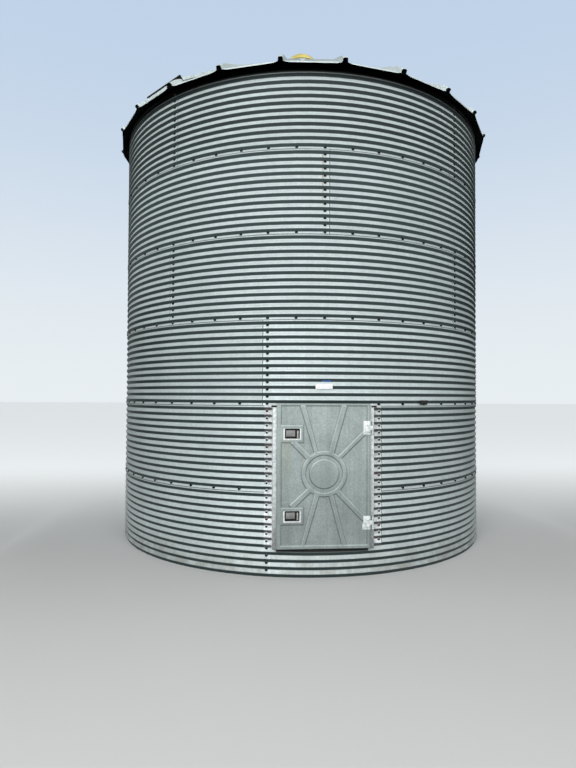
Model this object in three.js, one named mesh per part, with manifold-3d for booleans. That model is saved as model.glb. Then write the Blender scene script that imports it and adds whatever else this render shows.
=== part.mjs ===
// A farm grain silo: a round, bolted bin of corrugated steel sheets with a ribbed conical roof,
// a domed lid over the fill hole, a roof hatch and a hinged door at ground level.
// Millimetres, +Z up. The origin is on the axis at the wall's foot, and the door faces -Y.

import * as THREE from 'three';
import { mergeVertices } from 'three/addons/utils/BufferGeometryUtils.js';
import Module from 'manifold-3d';

const wasm = await Module();
wasm.setup();

// Wall: bolts run round it at one spacing, and every sheet is a whole number of spacings long.
const BOLT_SPACING = 254;
const BOLTS_AROUND = 52;
const CORRUGATION_DEPTH = 12.7;
const RING_HEIGHT = 762;
const RINGS = 6;
const DOOR_SPACINGS = 4;
const SEAM_GAP = 0.3;

const BOLT_STEP_DEG = 360 / BOLTS_AROUND;
const WALL_RADIUS = (BOLT_SPACING * BOLTS_AROUND) / (2 * Math.PI);
const WALL_OUTSIDE = WALL_RADIUS + CORRUGATION_DEPTH / 2;
const WALL_INSIDE = WALL_RADIUS - CORRUGATION_DEPTH / 2;
const WALL_HEIGHT = RING_HEIGHT * RINGS;

// Bolt lines are counted from the left edge of the doorway. Each ring's sheets start at these lines.
const RING_SHEETS = [
  [[4, 12], [16, 12], [28, 12], [40, 12]],
  [[4, 12], [16, 12], [28, 12], [40, 12]],
  [[0, 12], [12, 12], [24, 16], [40, 12]],
  [[-4, 12], [8, 12], [20, 16], [36, 12]],
  [[2, 12], [14, 16], [30, 12], [42, 12]],
  [[-4, 12], [8, 12], [20, 16], [36, 12]],
];

// Roof: flat panels between raised ribs, resting on the wall's top edge.
const ROOF_SLOPE_DEG = 32;
const RIBS = 24;
const PANELS_PER_NODE = 4;
const RIB_STEP_DEG = 360 / RIBS;
const ROOF_NODES = RIBS / PANELS_PER_NODE;
const FIRST_RIB_DEG = 4.3;
const EAVE_RADIUS = 2215;
const ROOF_TOP_RADIUS = 215;
const ROOF_THICKNESS = 5;
const REST_GAP = 0.3;
const EAVE_RIB = { height: 42, base: 46, top: 34 };
const TOP_RIB = { height: 25, base: 26, top: 18 };

const SLOPE = Math.tan(THREE.MathUtils.degToRad(ROOF_SLOPE_DEG));
const HALF_PANEL_COS = Math.cos(THREE.MathUtils.degToRad(RIB_STEP_DEG / 2));

// Fill hole at the roof's centre.
const COLLAR = { inside: 196, outside: 214.5, low: 5757, high: 5800 };
const COLLAR_SIDES = 48;
const LID = { dome: 225, centreHeight: 5732, rim: 224, rimHeight: 6, thickness: 15 };
const DOME_STEPS = 6;
const LID_SIDES = 24;

// Roof hatch, centred on the panel to the left of the door.
const HATCH_DEG = FIRST_RIB_DEG - 3.5 * RIB_STEP_DEG;
const HATCH_DISTANCE = 1773;
const HATCH_CURB = { width: 340, length: 470, wall: 6, height: 67.7 };
const HATCH_LID = { size: 600, top: 72, lip: 22, sheet: 4 };
const HATCH_HOLE = { width: 320, length: 450, depth: 80 };

// Door frame: a box section that stands proud of the wall, with a flange on the wall's outside.
const DOORWAY_LOW = 254;
const DOORWAY_HIGH = 1524;
const FRAME_FRONT = 2112;
const FRAME_BACK = 2040;
const CLEAR_HALF_WIDTH = 385;
const FRAME_HALF_WIDTH = 455;
const FRAME_RAIL = 44;
const FLANGE_DEG = 14.6;
const FLANGE_GAP = 0.5;
const FLANGE_THICKNESS = 3.5;

// Door leaf, in front of the frame.
const LEAF = { left: -424, right: 412, low: 264, high: 1516, back: 2117, front: 2145 };
const LEAF_GROOVE = { inset: 34, width: 10, depth: 3 };
const LEAF_CENTRE_X = (LEAF.left + LEAF.right) / 2;
const BEAD_HEIGHT = 4;
const BEAD_CENTRE_Z = 914;
const RING_BEAD = { inside: 127, outside: 165 };
const BEAD_EMBED = 1;
const BEAD_SIDES = 32;
const CHANNEL_WIDTH = 40;
const CHANNELS = [
  { from: [-74, 165], to: [-190, 560] },
  { from: [62, 165], to: [177, 560] },
  { from: [-74, -165], to: [-172, -580] },
  { from: [62, -165], to: [174, -580] },
  { from: [118, 130], to: [335, 340] },
  { from: [118, -130], to: [325, -350] },
  { from: [-118, 130], to: [-292, 270] },
  { from: [-118, -130], to: [-270, -290] },
];

// Latch trays: pressed pockets in the leaf, each with a paddle on an upright pin at its left.
const TRAY = { left: -366, right: -206, window: [-352, -221], depth: 44, wall: 6 };
const TRAY_CENTRES = { upper: 1264, lower: 552 };
const TRAY_HALF_HEIGHT = 58;
const WINDOW_HALF_HEIGHT = 45;
const PADDLE = { left: -346, right: -246, halfHeight: 38, thickness: 6, setBack: 8 };
const PADDLE_LIP_DEPTH = 12;
const PADDLE_BARREL = { radius: 6, inset: 2, sides: 12 };
const PADDLE_PIN_GAP = 0.4;

// Hinges: an upright row of three knuckles each, the middle one on the leaf's strap.
const HINGE_AXIS = [425, 2139];
const HINGE_CENTRES = { upper: 1314, lower: 486 };
const KNUCKLE_RADIUS = 9;
const KNUCKLE_HEIGHT = 38;
const KNUCKLE_GAP = 0.4;
const KNUCKLE_SIDES = 16;
const KNUCKLE_PLATE = { width: 8.1, embed: 5 };
const STRAP = { left: 340, halfHeight: 60, thickness: 4, tongueOverlap: 10 };

const TAG = { left: -80, right: 72, low: 1652, high: 1700, thickness: 2 };

const COLOURS = {
  sheet: [0xa9b4b4, 0.45, 0.75],
  roof: [0xb9c3c3, 0.4, 0.75],
  lid: [0xd9c22f, 0.5, 0.1],
  frame: [0xc8d0d0, 0.4, 0.8],
  leaf: [0x8e9a9b, 0.5, 0.6],
  hardware: [0xd5d9d8, 0.35, 0.85],
  paddle: [0x6b7274, 0.5, 0.6],
  tag: [0xf2f2ee, 0.6, 0.0],
};

const silo = new THREE.Group();

function addPiece(name, geometry, colour) {
  const [color, roughness, metalness] = COLOURS[colour];
  const material = new THREE.MeshStandardMaterial({ color, roughness, metalness });
  const mesh = new THREE.Mesh(geometry, material);
  mesh.name = name;
  silo.add(mesh);
  return mesh;
}

// A point in plan at a distance from the axis, by its angle from the door's centre towards +X.
function polar(radius, degrees) {
  const angle = THREE.MathUtils.degToRad(degrees);
  return new THREE.Vector2(radius * Math.sin(angle), -radius * Math.cos(angle));
}

function prism(outline, low, high) {
  const depth = high - low;
  const geometry = new THREE.ExtrudeGeometry(new THREE.Shape(outline), { depth, bevelEnabled: false });
  return geometry.translate(0, 0, low);
}

// A box between two corners, given as [x, y, z].
function box(low, high) {
  const size = high.map((value, axis) => value - low[axis]);
  const centre = high.map((value, axis) => (value + low[axis]) / 2);
  return new THREE.BoxGeometry(...size).translate(...centre);
}

// A box on the door, by its sides across and up and its two distances in front of the axis.
function doorBox(left, right, low, high, near, far) {
  return box([left, -far, low], [right, -near, high]);
}

function uprightCylinder(x, y, radius, low, high, sides) {
  const geometry = new THREE.CylinderGeometry(radius, radius, high - low, sides);
  return geometry.rotateX(Math.PI / 2).translate(x, y, (low + high) / 2);
}

function toSolid(geometry) {
  const bare = geometry.clone();
  bare.deleteAttribute('normal');
  bare.deleteAttribute('uv');
  const merged = mergeVertices(bare, 1e-4);
  const vertProperties = merged.attributes.position.array;
  const triVerts = new Uint32Array(merged.index.array);
  return new wasm.Manifold(new wasm.Mesh({ numProp: 3, vertProperties, triVerts }));
}

function toGeometry(solid) {
  const mesh = solid.getMesh();
  const geometry = new THREE.BufferGeometry();
  geometry.setAttribute('position', new THREE.BufferAttribute(mesh.vertProperties, 3));
  geometry.setIndex(new THREE.BufferAttribute(mesh.triVerts, 1));
  geometry.computeVertexNormals();
  return geometry;
}

// Joins some geometries and cuts others away from the result.
function combine(joined, cuts = []) {
  let solid = toSolid(joined[0]);
  joined.slice(1).forEach((geometry) => { solid = solid.add(toSolid(geometry)); });
  cuts.forEach((geometry) => { solid = solid.subtract(toSolid(geometry)); });
  return toGeometry(solid);
}

// The wall's bolt lines, from the left edge of the doorway.
function boltLineDeg(line) {
  return (line - DOOR_SPACINGS / 2) * BOLT_STEP_DEG;
}

// A sheet of the wall: its mean plate, one flat facet to a bolt spacing, with a small gap at its ends.
function wallSheet(firstLine, spacings, low, high) {
  const trim = THREE.MathUtils.radToDeg(SEAM_GAP / 2 / WALL_RADIUS);
  const angles = [];
  for (let line = 0; line <= spacings; line += 1) {
    angles.push(boltLineDeg(firstLine + line));
  }
  angles[0] += trim;
  angles[spacings] -= trim;
  const outside = angles.map((degrees) => polar(WALL_OUTSIDE, degrees));
  const inside = angles.map((degrees) => polar(WALL_INSIDE, degrees)).reverse();
  return prism([...outside, ...inside], low, high);
}

function addWall() {
  RING_SHEETS.forEach((sheets, ring) => {
    sheets.forEach(([firstLine, spacings], index) => {
      const low = ring * RING_HEIGHT;
      const geometry = wallSheet(firstLine, spacings, low, low + RING_HEIGHT);
      addPiece(`ring_${ring + 1}_sheet_${index + 1}`, geometry, 'sheet');
    });
  });
  addPiece('ring_1_sill_panel', wallSheet(0, DOOR_SPACINGS, 0, DOORWAY_LOW), 'sheet');
}

// Height of the roof panels' underside at a distance from the axis, measured along a rib's line.
function undersideHeight(radius) {
  return WALL_HEIGHT + REST_GAP + (WALL_OUTSIDE / HALF_PANEL_COS - radius) * SLOPE;
}

// The same at any point in plan of the flat panel whose middle is at an angle.
function panelUnderside(point, middleDeg) {
  const outward = polar(1, middleDeg);
  return undersideHeight(point.dot(outward) / HALF_PANEL_COS);
}

// Four corners of a rib's hat section at one radius, on the sheet's top or underside.
function ribSection(ribDeg, radius, rib, underside) {
  const inset = underside ? ROOF_THICKNESS : 0;
  const lift = underside ? 0 : ROOF_THICKNESS;
  const along = polar(radius, ribDeg);
  const across = polar(1, ribDeg + 90);
  const foot = (side) => {
    const point = along.clone().addScaledVector(across, side * (rib.base / 2 - inset));
    const height = panelUnderside(point, ribDeg + (side * RIB_STEP_DEG) / 2) + lift;
    return new THREE.Vector3(point.x, point.y, height);
  };
  const crown = (side) => {
    const point = along.clone().addScaledVector(across, side * (rib.top / 2 - inset));
    return new THREE.Vector3(point.x, point.y, undersideHeight(radius) + rib.height + lift);
  };
  return [foot(-1), crown(-1), crown(1), foot(1)];
}

// One closed sheet from a top line and an underside line at the eave and at the roof's top.
function loftSheet(eaveTop, eaveUnder, highTop, highUnder) {
  const lines = [eaveTop, eaveUnder, highTop, highUnder];
  const count = eaveTop.length;
  const positions = lines.flat().flatMap((point) => [point.x, point.y, point.z]);
  const at = (line, step) => line * count + step;
  const index = [];
  const quad = (a, b, c, d) => index.push(a, b, c, a, c, d);
  for (let step = 0; step < count - 1; step += 1) {
    quad(at(0, step), at(0, step + 1), at(2, step + 1), at(2, step));
    quad(at(1, step), at(3, step), at(3, step + 1), at(1, step + 1));
    quad(at(1, step), at(1, step + 1), at(0, step + 1), at(0, step));
    quad(at(2, step), at(2, step + 1), at(3, step + 1), at(3, step));
  }
  const last = count - 1;
  quad(at(1, 0), at(0, 0), at(2, 0), at(3, 0));
  quad(at(0, last), at(1, last), at(3, last), at(2, last));
  const geometry = new THREE.BufferGeometry();
  geometry.setAttribute('position', new THREE.Float32BufferAttribute(positions, 3));
  geometry.setIndex(index);
  geometry.computeVertexNormals();
  return geometry;
}

// Four panels: each starts at the left foot of its rib, and the last ends at the next node's rib.
function roofPanels(firstRib) {
  const startDeg = FIRST_RIB_DEG + firstRib * RIB_STEP_DEG;
  const endDeg = startDeg + PANELS_PER_NODE * RIB_STEP_DEG;
  const slide = (point, ribDeg, distance) => {
    const shift = polar(distance, ribDeg + 90);
    point.set(point.x - shift.x, point.y - shift.y, point.z);
  };
  const line = (radius, rib, underside) => {
    const points = [];
    for (let step = 0; step < PANELS_PER_NODE; step += 1) {
      points.push(...ribSection(startDeg + step * RIB_STEP_DEG, radius, rib, underside));
    }
    const end = ribSection(endDeg, radius, rib, underside)[0];
    const inset = underside ? ROOF_THICKNESS : 0;
    slide(points[0], startDeg, inset);
    slide(end, endDeg, inset + SEAM_GAP);
    return [...points, end];
  };
  return loftSheet(
    line(EAVE_RADIUS, EAVE_RIB, false),
    line(EAVE_RADIUS, EAVE_RIB, true),
    line(ROOF_TOP_RADIUS, TOP_RIB, false),
    line(ROOF_TOP_RADIUS, TOP_RIB, true),
  );
}

// Places geometry modelled on the hatch's panel: x along the eave, y up the slope, z off the sheet.
function onHatchPanel(geometry) {
  const slope = Math.atan(SLOPE / HALF_PANEL_COS);
  const across = polar(1, HATCH_DEG + 90);
  const inward = polar(-1, HATCH_DEG);
  const x = new THREE.Vector3(across.x, across.y, 0);
  const y = new THREE.Vector3(inward.x * Math.cos(slope), inward.y * Math.cos(slope), Math.sin(slope));
  const z = new THREE.Vector3().crossVectors(x, y);
  const centre = polar(HATCH_DISTANCE, HATCH_DEG);
  const height = undersideHeight(HATCH_DISTANCE / HALF_PANEL_COS) + ROOF_THICKNESS;
  const place = new THREE.Matrix4().makeBasis(x, y, z).setPosition(centre.x, centre.y, height);
  return geometry.applyMatrix4(place);
}

function centredBox(width, length, low, high) {
  return box([-width / 2, -length / 2, low], [width / 2, length / 2, high]);
}

function addRoof() {
  const { width, length, depth } = HATCH_HOLE;
  const hole = onHatchPanel(centredBox(width, length, -depth, depth));
  const hatchNode = ROOF_NODES - 1;
  for (let node = 0; node < ROOF_NODES; node += 1) {
    const panels = roofPanels(node * PANELS_PER_NODE);
    const geometry = node === hatchNode ? combine([panels], [hole]) : panels;
    addPiece(`roof_panels_${node + 1}`, geometry, 'roof');
  }
}

function addFillHole() {
  const collar = [
    [COLLAR.inside, COLLAR.low],
    [COLLAR.outside, COLLAR.low],
    [COLLAR.outside, COLLAR.high],
    [COLLAR.inside, COLLAR.high],
    [COLLAR.inside, COLLAR.low],
  ];
  addPiece('fill_collar', turned(collar, COLLAR_SIDES), 'frame');

  const seat = COLLAR.high + REST_GAP;
  const dome = (radius, edge) => {
    const edgeAngle = Math.asin(edge / radius);
    return Array.from({ length: DOME_STEPS + 1 }, (_, step) => {
      const angle = (edgeAngle * step) / DOME_STEPS;
      return [radius * Math.sin(angle), LID.centreHeight + radius * Math.cos(angle)];
    });
  };
  const rimTop = seat + LID.rimHeight;
  const outsideEdge = Math.sqrt(LID.dome ** 2 - (rimTop - LID.centreHeight) ** 2);
  const insideDome = LID.dome - LID.thickness;
  const insideEdge = Math.sqrt(insideDome ** 2 - (seat - LID.centreHeight) ** 2);
  const outside = dome(LID.dome, outsideEdge);
  const inside = dome(insideDome, insideEdge).reverse();
  const profile = [...outside, [LID.rim, rimTop], [LID.rim, seat], ...inside];
  profile[0][0] = 0;
  profile[profile.length - 1][0] = 0;
  addPiece('fill_lid', turned(profile.reverse(), LID_SIDES), 'lid');
}

// A body turned round the silo's axis from a profile of [radius, height] points.
function turned(profile, sides) {
  const points = profile.map(([radius, height]) => new THREE.Vector2(radius, height));
  return new THREE.LatheGeometry(points, sides).rotateX(Math.PI / 2);
}

function addHatch() {
  const { width, length, wall, height } = HATCH_CURB;
  const outline = centredBox(width, length, REST_GAP, height);
  const inner = centredBox(width - 2 * wall, length - 2 * wall, -height, 2 * height);
  addPiece('roof_hatch_curb', onHatchPanel(combine([outline], [inner])), 'roof');

  const { size, top, lip, sheet } = HATCH_LID;
  const lid = centredBox(size, size, top - lip, top);
  const hollow = centredBox(size - 2 * sheet, size - 2 * sheet, top - 2 * lip, top - sheet);
  addPiece('roof_hatch_lid', onHatchPanel(combine([lid], [hollow])), 'roof');
}

// Plan outline of a jamb for one side of the door: -1 is left and 1 is right.
function jambOutline(side) {
  const wallEdge = boltLineDeg(DOOR_SPACINGS);
  const trim = THREE.MathUtils.radToDeg(SEAM_GAP / WALL_RADIUS);
  const flangeInside = WALL_OUTSIDE + FLANGE_GAP;
  const flangeOutside = flangeInside + FLANGE_THICKNESS;
  const flangeFoot = Math.sqrt(flangeOutside ** 2 - FRAME_HALF_WIDTH ** 2);
  const points = [
    new THREE.Vector2(CLEAR_HALF_WIDTH, -FRAME_BACK),
    new THREE.Vector2(CLEAR_HALF_WIDTH, -FRAME_FRONT),
    new THREE.Vector2(FRAME_HALF_WIDTH, -FRAME_FRONT),
    new THREE.Vector2(FRAME_HALF_WIDTH, -flangeFoot),
    polar(flangeOutside, FLANGE_DEG),
    polar(flangeInside, FLANGE_DEG),
    polar(flangeInside, wallEdge - trim),
    polar(WALL_INSIDE, wallEdge - trim),
  ];
  return points.map((point) => new THREE.Vector2(side * point.x, point.y));
}

// A knuckle on the frame, with the plate that carries it back to the jamb's front.
function frameKnuckle(low, high) {
  const [x, distance] = HINGE_AXIS;
  const barrel = uprightCylinder(x, -distance, KNUCKLE_RADIUS, low, high, KNUCKLE_SIDES);
  const root = FRAME_FRONT - KNUCKLE_PLATE.embed;
  const plate = doorBox(x, x + KNUCKLE_PLATE.width, low, high, root, distance);
  return [barrel, plate];
}

function addFrame() {
  const left = prism(jambOutline(-1), DOORWAY_LOW, DOORWAY_HIGH);
  addPiece('door_jamb_left', left, 'frame');

  const pieces = [prism(jambOutline(1), DOORWAY_LOW, DOORWAY_HIGH)];
  Object.values(HINGE_CENTRES).forEach((centre) => {
    const inner = KNUCKLE_HEIGHT / 2 + KNUCKLE_GAP;
    const outer = inner + KNUCKLE_HEIGHT;
    pieces.push(...frameKnuckle(centre + inner, centre + outer));
    pieces.push(...frameKnuckle(centre - outer, centre - inner));
  });
  addPiece('door_jamb_right', combine(pieces), 'frame');

  const rail = (low, high) => doorBox(
    -CLEAR_HALF_WIDTH + SEAM_GAP,
    CLEAR_HALF_WIDTH - SEAM_GAP,
    low,
    high,
    FRAME_BACK,
    FRAME_FRONT,
  );
  addPiece('door_head', rail(DOORWAY_HIGH - FRAME_RAIL, DOORWAY_HIGH), 'frame');
  addPiece('door_sill', rail(DOORWAY_LOW, DOORWAY_LOW + FRAME_RAIL), 'frame');
}

// A raised channel on the leaf between two points, given across and up from the round bead's centre.
function channelBead(from, to) {
  const run = new THREE.Vector2(to[0] - from[0], to[1] - from[1]);
  const length = run.length();
  const thickness = BEAD_HEIGHT + BEAD_EMBED;
  const bead = new THREE.BoxGeometry(length, thickness, CHANNEL_WIDTH);
  bead.rotateY(-run.angle());
  const x = LEAF_CENTRE_X + (from[0] + to[0]) / 2;
  const z = BEAD_CENTRE_Z + (from[1] + to[1]) / 2;
  return bead.translate(x, -(LEAF.front + BEAD_HEIGHT - thickness / 2), z);
}

// The round bead in the middle of the leaf.
function roundBead() {
  const profile = [
    [RING_BEAD.inside, -BEAD_EMBED],
    [RING_BEAD.outside, -BEAD_EMBED],
    [RING_BEAD.outside, BEAD_HEIGHT],
    [RING_BEAD.inside, BEAD_HEIGHT],
    [RING_BEAD.inside, -BEAD_EMBED],
  ];
  const points = profile.map(([radius, height]) => new THREE.Vector2(radius, height));
  const ring = new THREE.LatheGeometry(points, BEAD_SIDES).rotateX(Math.PI);
  return ring.translate(LEAF_CENTRE_X, -LEAF.front, BEAD_CENTRE_Z);
}

function leafGrooves() {
  const { inset, width, depth } = LEAF_GROOVE;
  const left = LEAF.left + inset;
  const right = LEAF.right - inset;
  const low = LEAF.low + inset;
  const high = LEAF.high - inset;
  const near = LEAF.front - depth;
  const far = LEAF.front + depth;
  return [
    doorBox(left, left + width, low, high, near, far),
    doorBox(right - width, right, low, high, near, far),
    doorBox(left, right, low, low + width, near, far),
    doorBox(left, right, high - width, high, near, far),
  ];
}

function addLeaf() {
  const slab = doorBox(LEAF.left, LEAF.right, LEAF.low, LEAF.high, LEAF.back, LEAF.front);
  const trays = [];
  const pockets = [];
  Object.values(TRAY_CENTRES).forEach((centre) => {
    const trayLow = centre - TRAY_HALF_HEIGHT;
    const trayHigh = centre + TRAY_HALF_HEIGHT;
    const back = LEAF.front - TRAY.depth;
    trays.push(doorBox(TRAY.left, TRAY.right, trayLow, trayHigh, back - TRAY.wall, LEAF.front));
    const windowLow = centre - WINDOW_HALF_HEIGHT;
    const windowHigh = centre + WINDOW_HALF_HEIGHT;
    pockets.push(doorBox(...TRAY.window, windowLow, windowHigh, back, LEAF.front + BEAD_HEIGHT * 2));
  });
  const beads = CHANNELS.map(({ from, to }) => channelBead(from, to));
  const bead = roundBead();
  const { inside } = RING_BEAD;
  const disc = new THREE.CylinderGeometry(inside, inside, 4 * BEAD_HEIGHT, BEAD_SIDES);
  disc.translate(LEAF_CENTRE_X, -(LEAF.front + 2 * BEAD_HEIGHT), BEAD_CENTRE_Z);
  const body = combine([slab, ...trays], leafGrooves());
  const raised = combine(beads, [disc]);
  addPiece('door_leaf', combine([body, raised, bead], pockets), 'leaf');
}

// The leaf's half of a hinge: a strap on its front face with the middle knuckle.
function addHingeStraps() {
  const [x, distance] = HINGE_AXIS;
  Object.entries(HINGE_CENTRES).forEach(([name, centre]) => {
    const front = LEAF.front + STRAP.thickness;
    const low = centre - KNUCKLE_HEIGHT / 2;
    const high = centre + KNUCKLE_HEIGHT / 2;
    const strap = doorBox(
      STRAP.left,
      LEAF.right,
      centre - STRAP.halfHeight,
      centre + STRAP.halfHeight,
      LEAF.front,
      front,
    );
    const tongueLeft = LEAF.right - STRAP.tongueOverlap;
    const tongue = doorBox(tongueLeft, x, low, high, LEAF.front, front);
    const barrel = uprightCylinder(x, -distance, KNUCKLE_RADIUS, low, high, KNUCKLE_SIDES);
    addPiece(`door_hinge_${name}`, combine([strap, tongue, barrel]), 'hardware');
  });
}

function addPaddles() {
  Object.entries(TRAY_CENTRES).forEach(([name, centre]) => {
    const front = LEAF.front - PADDLE.setBack;
    const back = front - PADDLE.thickness;
    const { left, right, thickness } = PADDLE;
    const low = centre - PADDLE.halfHeight;
    const high = centre + PADDLE.halfHeight;
    const plate = doorBox(left, right, low, high, back, front);
    const lip = doorBox(right - thickness, right, low, high, back - PADDLE_LIP_DEPTH, front);
    const reach = WINDOW_HALF_HEIGHT - PADDLE_PIN_GAP;
    const { radius, inset, sides } = PADDLE_BARREL;
    const y = -(front - radius);
    const barrel = uprightCylinder(left + inset, y, radius, centre - reach, centre + reach, sides);
    addPiece(`door_latch_${name}`, combine([plate, lip, barrel]), 'paddle');
  });
}

function addTag() {
  const back = WALL_OUTSIDE + REST_GAP;
  const tag = doorBox(TAG.left, TAG.right, TAG.low, TAG.high, back, back + TAG.thickness);
  addPiece('tag_plate', tag, 'tag');
}

addWall();
addRoof();
addFillHole();
addHatch();
addFrame();
addLeaf();
addHingeStraps();
addPaddles();
addTag();

export default silo;
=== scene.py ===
# A farm grain silo, dressed for its final render: corrugated sheets lapped and bolted ring by ring,
# a ribbed roof with a yellow lid and a hatch, and a pressed steel door in its frame.
# Metres, +Z up, in the model's own frame: the origin is on the axis at the wall's foot, the door faces -Y.

import math
from types import SimpleNamespace as Sizes

import bmesh
import bpy
import numpy as np
from mathutils import Matrix, Vector


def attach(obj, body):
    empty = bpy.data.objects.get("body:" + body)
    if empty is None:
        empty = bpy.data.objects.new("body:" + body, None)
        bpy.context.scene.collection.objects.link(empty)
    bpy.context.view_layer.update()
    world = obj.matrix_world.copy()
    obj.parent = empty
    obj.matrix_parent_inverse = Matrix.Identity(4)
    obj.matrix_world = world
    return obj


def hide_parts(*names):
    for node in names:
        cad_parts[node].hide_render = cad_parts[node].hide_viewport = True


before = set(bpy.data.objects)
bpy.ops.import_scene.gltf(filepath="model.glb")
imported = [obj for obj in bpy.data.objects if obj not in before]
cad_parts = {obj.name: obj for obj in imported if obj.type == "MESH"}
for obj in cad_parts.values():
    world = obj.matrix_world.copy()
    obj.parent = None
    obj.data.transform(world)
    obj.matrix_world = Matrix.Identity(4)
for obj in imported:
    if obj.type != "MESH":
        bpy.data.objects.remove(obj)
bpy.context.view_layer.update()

# Lists that end in BOXES hold rows of x from and to, depth from and to, height from and to, and rounding.

# Wall
BOLT_SPACING = 0.254
BOLTS_AROUND = 52
PITCH = 0.0635
CORRUGATION_DEPTH = 0.0127
RING_HEIGHT = 0.762
RINGS = 6
WALL_RADIUS = BOLT_SPACING * BOLTS_AROUND / math.tau
WALL_OUTSIDE = WALL_RADIUS + CORRUGATION_DEPTH / 2
WALL_HEIGHT = RING_HEIGHT * RINGS
BOLT_STEP_DEG = 360 / BOLTS_AROUND
DOOR_SPACINGS = 4
SHEET_THICKNESS = 0.0011
LAP = 0.0370
LAP_STEP = 0.0013
LAP_FADE = 2.4 * LAP
RING_LAP = 0.0185
RING_LAP_STEP = 0.0026
RING_LAP_FADE = (0.4 * PITCH, PITCH)
ROWS_PER_PITCH = 10
COLUMNS_PER_SPACING = 2
# How a lap's edge shows: a painted shadow line on the sheet below it, and painted highlight strips next to
# it.
LAP_SHADOW_AND_HIGHLIGHT = Sizes(before=-0.013, edge=0.0005, dark_to=0.009, bright_from=0.011, bright_to=0.024, dark=0.42,
                 bright=1.12)
# The leaf's shadow on the sheet below the doorway.
LEAF_SHADOW = Sizes(low=0.210, high=0.228, soft_deg=0.1, dark=0.97)

# Every ring's sheets as (number of the CAD node, first bolt line, bolt spacings, brightness).
RING_SHEETS = {
    1: [(1, 4, 12, 1.00), (2, 16, 12, 0.96), (3, 28, 12, 1.02), (4, 40, 12, 1.02)],
    2: [(1, 4, 12, 0.97), (2, 16, 12, 1.03), (3, 28, 12, 0.98), (4, 40, 12, 1.00)],
    3: [(1, 0, 12, 1.10), (2, 12, 12, 0.97), (3, 24, 4, 1.03), (3, 28, 12, 0.95), (4, 40, 12, 0.97)],
    4: [(1, -4, 12, 1.00), (2, 8, 12, 0.95), (3, 20, 4, 1.02), (3, 24, 12, 0.98), (4, 36, 12, 1.04)],
    5: [(1, 2, 12, 0.95), (2, 14, 12, 1.02), (2, 26, 4, 0.96), (3, 30, 12, 0.99), (4, 42, 12, 1.03)],
    6: [(1, -4, 12, 0.97), (2, 8, 12, 0.92), (3, 20, 4, 1.00), (3, 24, 12, 0.95), (4, 36, 12, 0.98)],
}
LEFT_SHEET_OUTSIDE = {1: True, 2: True, 3: False, 4: False, 5: True, 6: True}

# Roof
ROOF_SLOPE = math.tan(math.radians(32))
RIBS = 24
RIB_STEP_DEG = 360 / RIBS
FIRST_RIB_DEG = 4.3
PANELS_PER_NODE = 4
HALF_PANEL_COS = math.cos(math.radians(RIB_STEP_DEG / 2))
ROOF_TOP_RADIUS = 0.215
REST_GAP = 0.0003
ROOF_LIFT = 0.005
ROOF_SHEET = 0.0014
# Width of a rib at its foot and at its crest, each at the eave and at the roof's top.
RIB_BASE = (0.052, 0.026)
RIB_CREST = (0.036, 0.018)
# A rib's side: how far it leans in over its foot, out below its shoulder and in at its crest, and the
# heights of the foot and the crest's edge.
RIB_SIDE = Sizes(lean=0.002, shoulder=0.001, round=0.003, foot_height=0.006, crest_drop=0.001)
# Height of a rib by how far up the slope from the eave it is.
RIB_HEIGHTS = Sizes(distance=(0, 0.11, 0.42, 2.0), height=(0.036, 0.058, 0.021, 0.018))
EDGE_AT_RIB = 2.198
EDGE_MID_PANEL = 2.177
RIB_TIP = 2.2165
# The points of a rib that are lifted further than this reach out to its tip.
RIB_TIP_LIFT = 0.01
EDGE_CURVE = 2.5
PANEL_COLUMNS = 11
PANEL_TONES = (1.0, 0.97, 1.03, 0.99, 1.02, 1.0)
# How far each row of the roof's mesh is from the eave, as a share of the slope.
ROOF_ROWS = (0, 0.012, 0.03, 0.06, 0.10, 0.15, 0.21, 0.28, 0.36, 0.45, 0.55, 0.65, 0.75, 0.85, 0.93, 1)
# The turned-down edge's rows as (distance out, share of the drop).
LIP_ROWS = ((0.0035, 1.0), (0.0035, 0.35), (0.0025, 0.08))
LIP_DROP = 0.013
LIP_FADE = (0.01, 0.10)
LIP_BRIGHTNESS = 0.95
LIP_BACK_LOWER = 0.0004
# Tone of the sheets' undersides: near black, painted shade.
UNDERSIDE_SHADE_TONE = 0.03
DARK_BELOW = 0.1

# Roof hatch, on the panel left of the door
HATCH_DEG = FIRST_RIB_DEG - 3.5 * RIB_STEP_DEG
HATCH_DISTANCE = 1.773
HATCH_CURB = Sizes(width=0.340, length=0.470, corner=0.008)
HATCH_LID = Sizes(half=0.300, top=0.080, lip=0.034, flat=0.12, side_low=0.024, side_drop=0.030, corner=0.012,
                  tone=1.02, lip_tone=0.04, lip_width=0.004, lip_edge=0.001)
# Profiles of the curb and of the lid as (distance in from the edge, height above the panel).
CURB_PROFILE = ((0, 0.0008), (0, 0.0662), (0.0015, 0.0677), (0.0045, 0.0677), (0.006, 0.0662),
                (0.006, 0.0008))
LID_PROFILE = ((0.12, 0.0695), (0.06, 0.0695), (0.005, 0.078), (0.002, 0.075), (0.002, 0.046),
               (0, 0.046), (0, 0.077), (0.003, 0.080), (0.06, 0.0715), (0.12, 0.0715))
FLAP = Sizes(left=-0.292, right=0.060, top=0.018, longer=0.008, out=0.0006, sheet=0.0005, tone=1.1)
HATCH_HOLE = Sizes(width=0.320, length=0.450, low=-0.06, high=0.03)

# Fill hole
FILL_SIDES = 96
DOME_ROWS = 22
COLLAR = Sizes(inside=0.196, outside=0.2145, low=5.757, high=5.800, bead=0.002)
LID = Sizes(dome=0.240, centre=5.706, rim=0.224, rim_height=0.006, rim_width=0.003, thickness=0.0025,
            bead=0.001, inner_rise=0.002)

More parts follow.
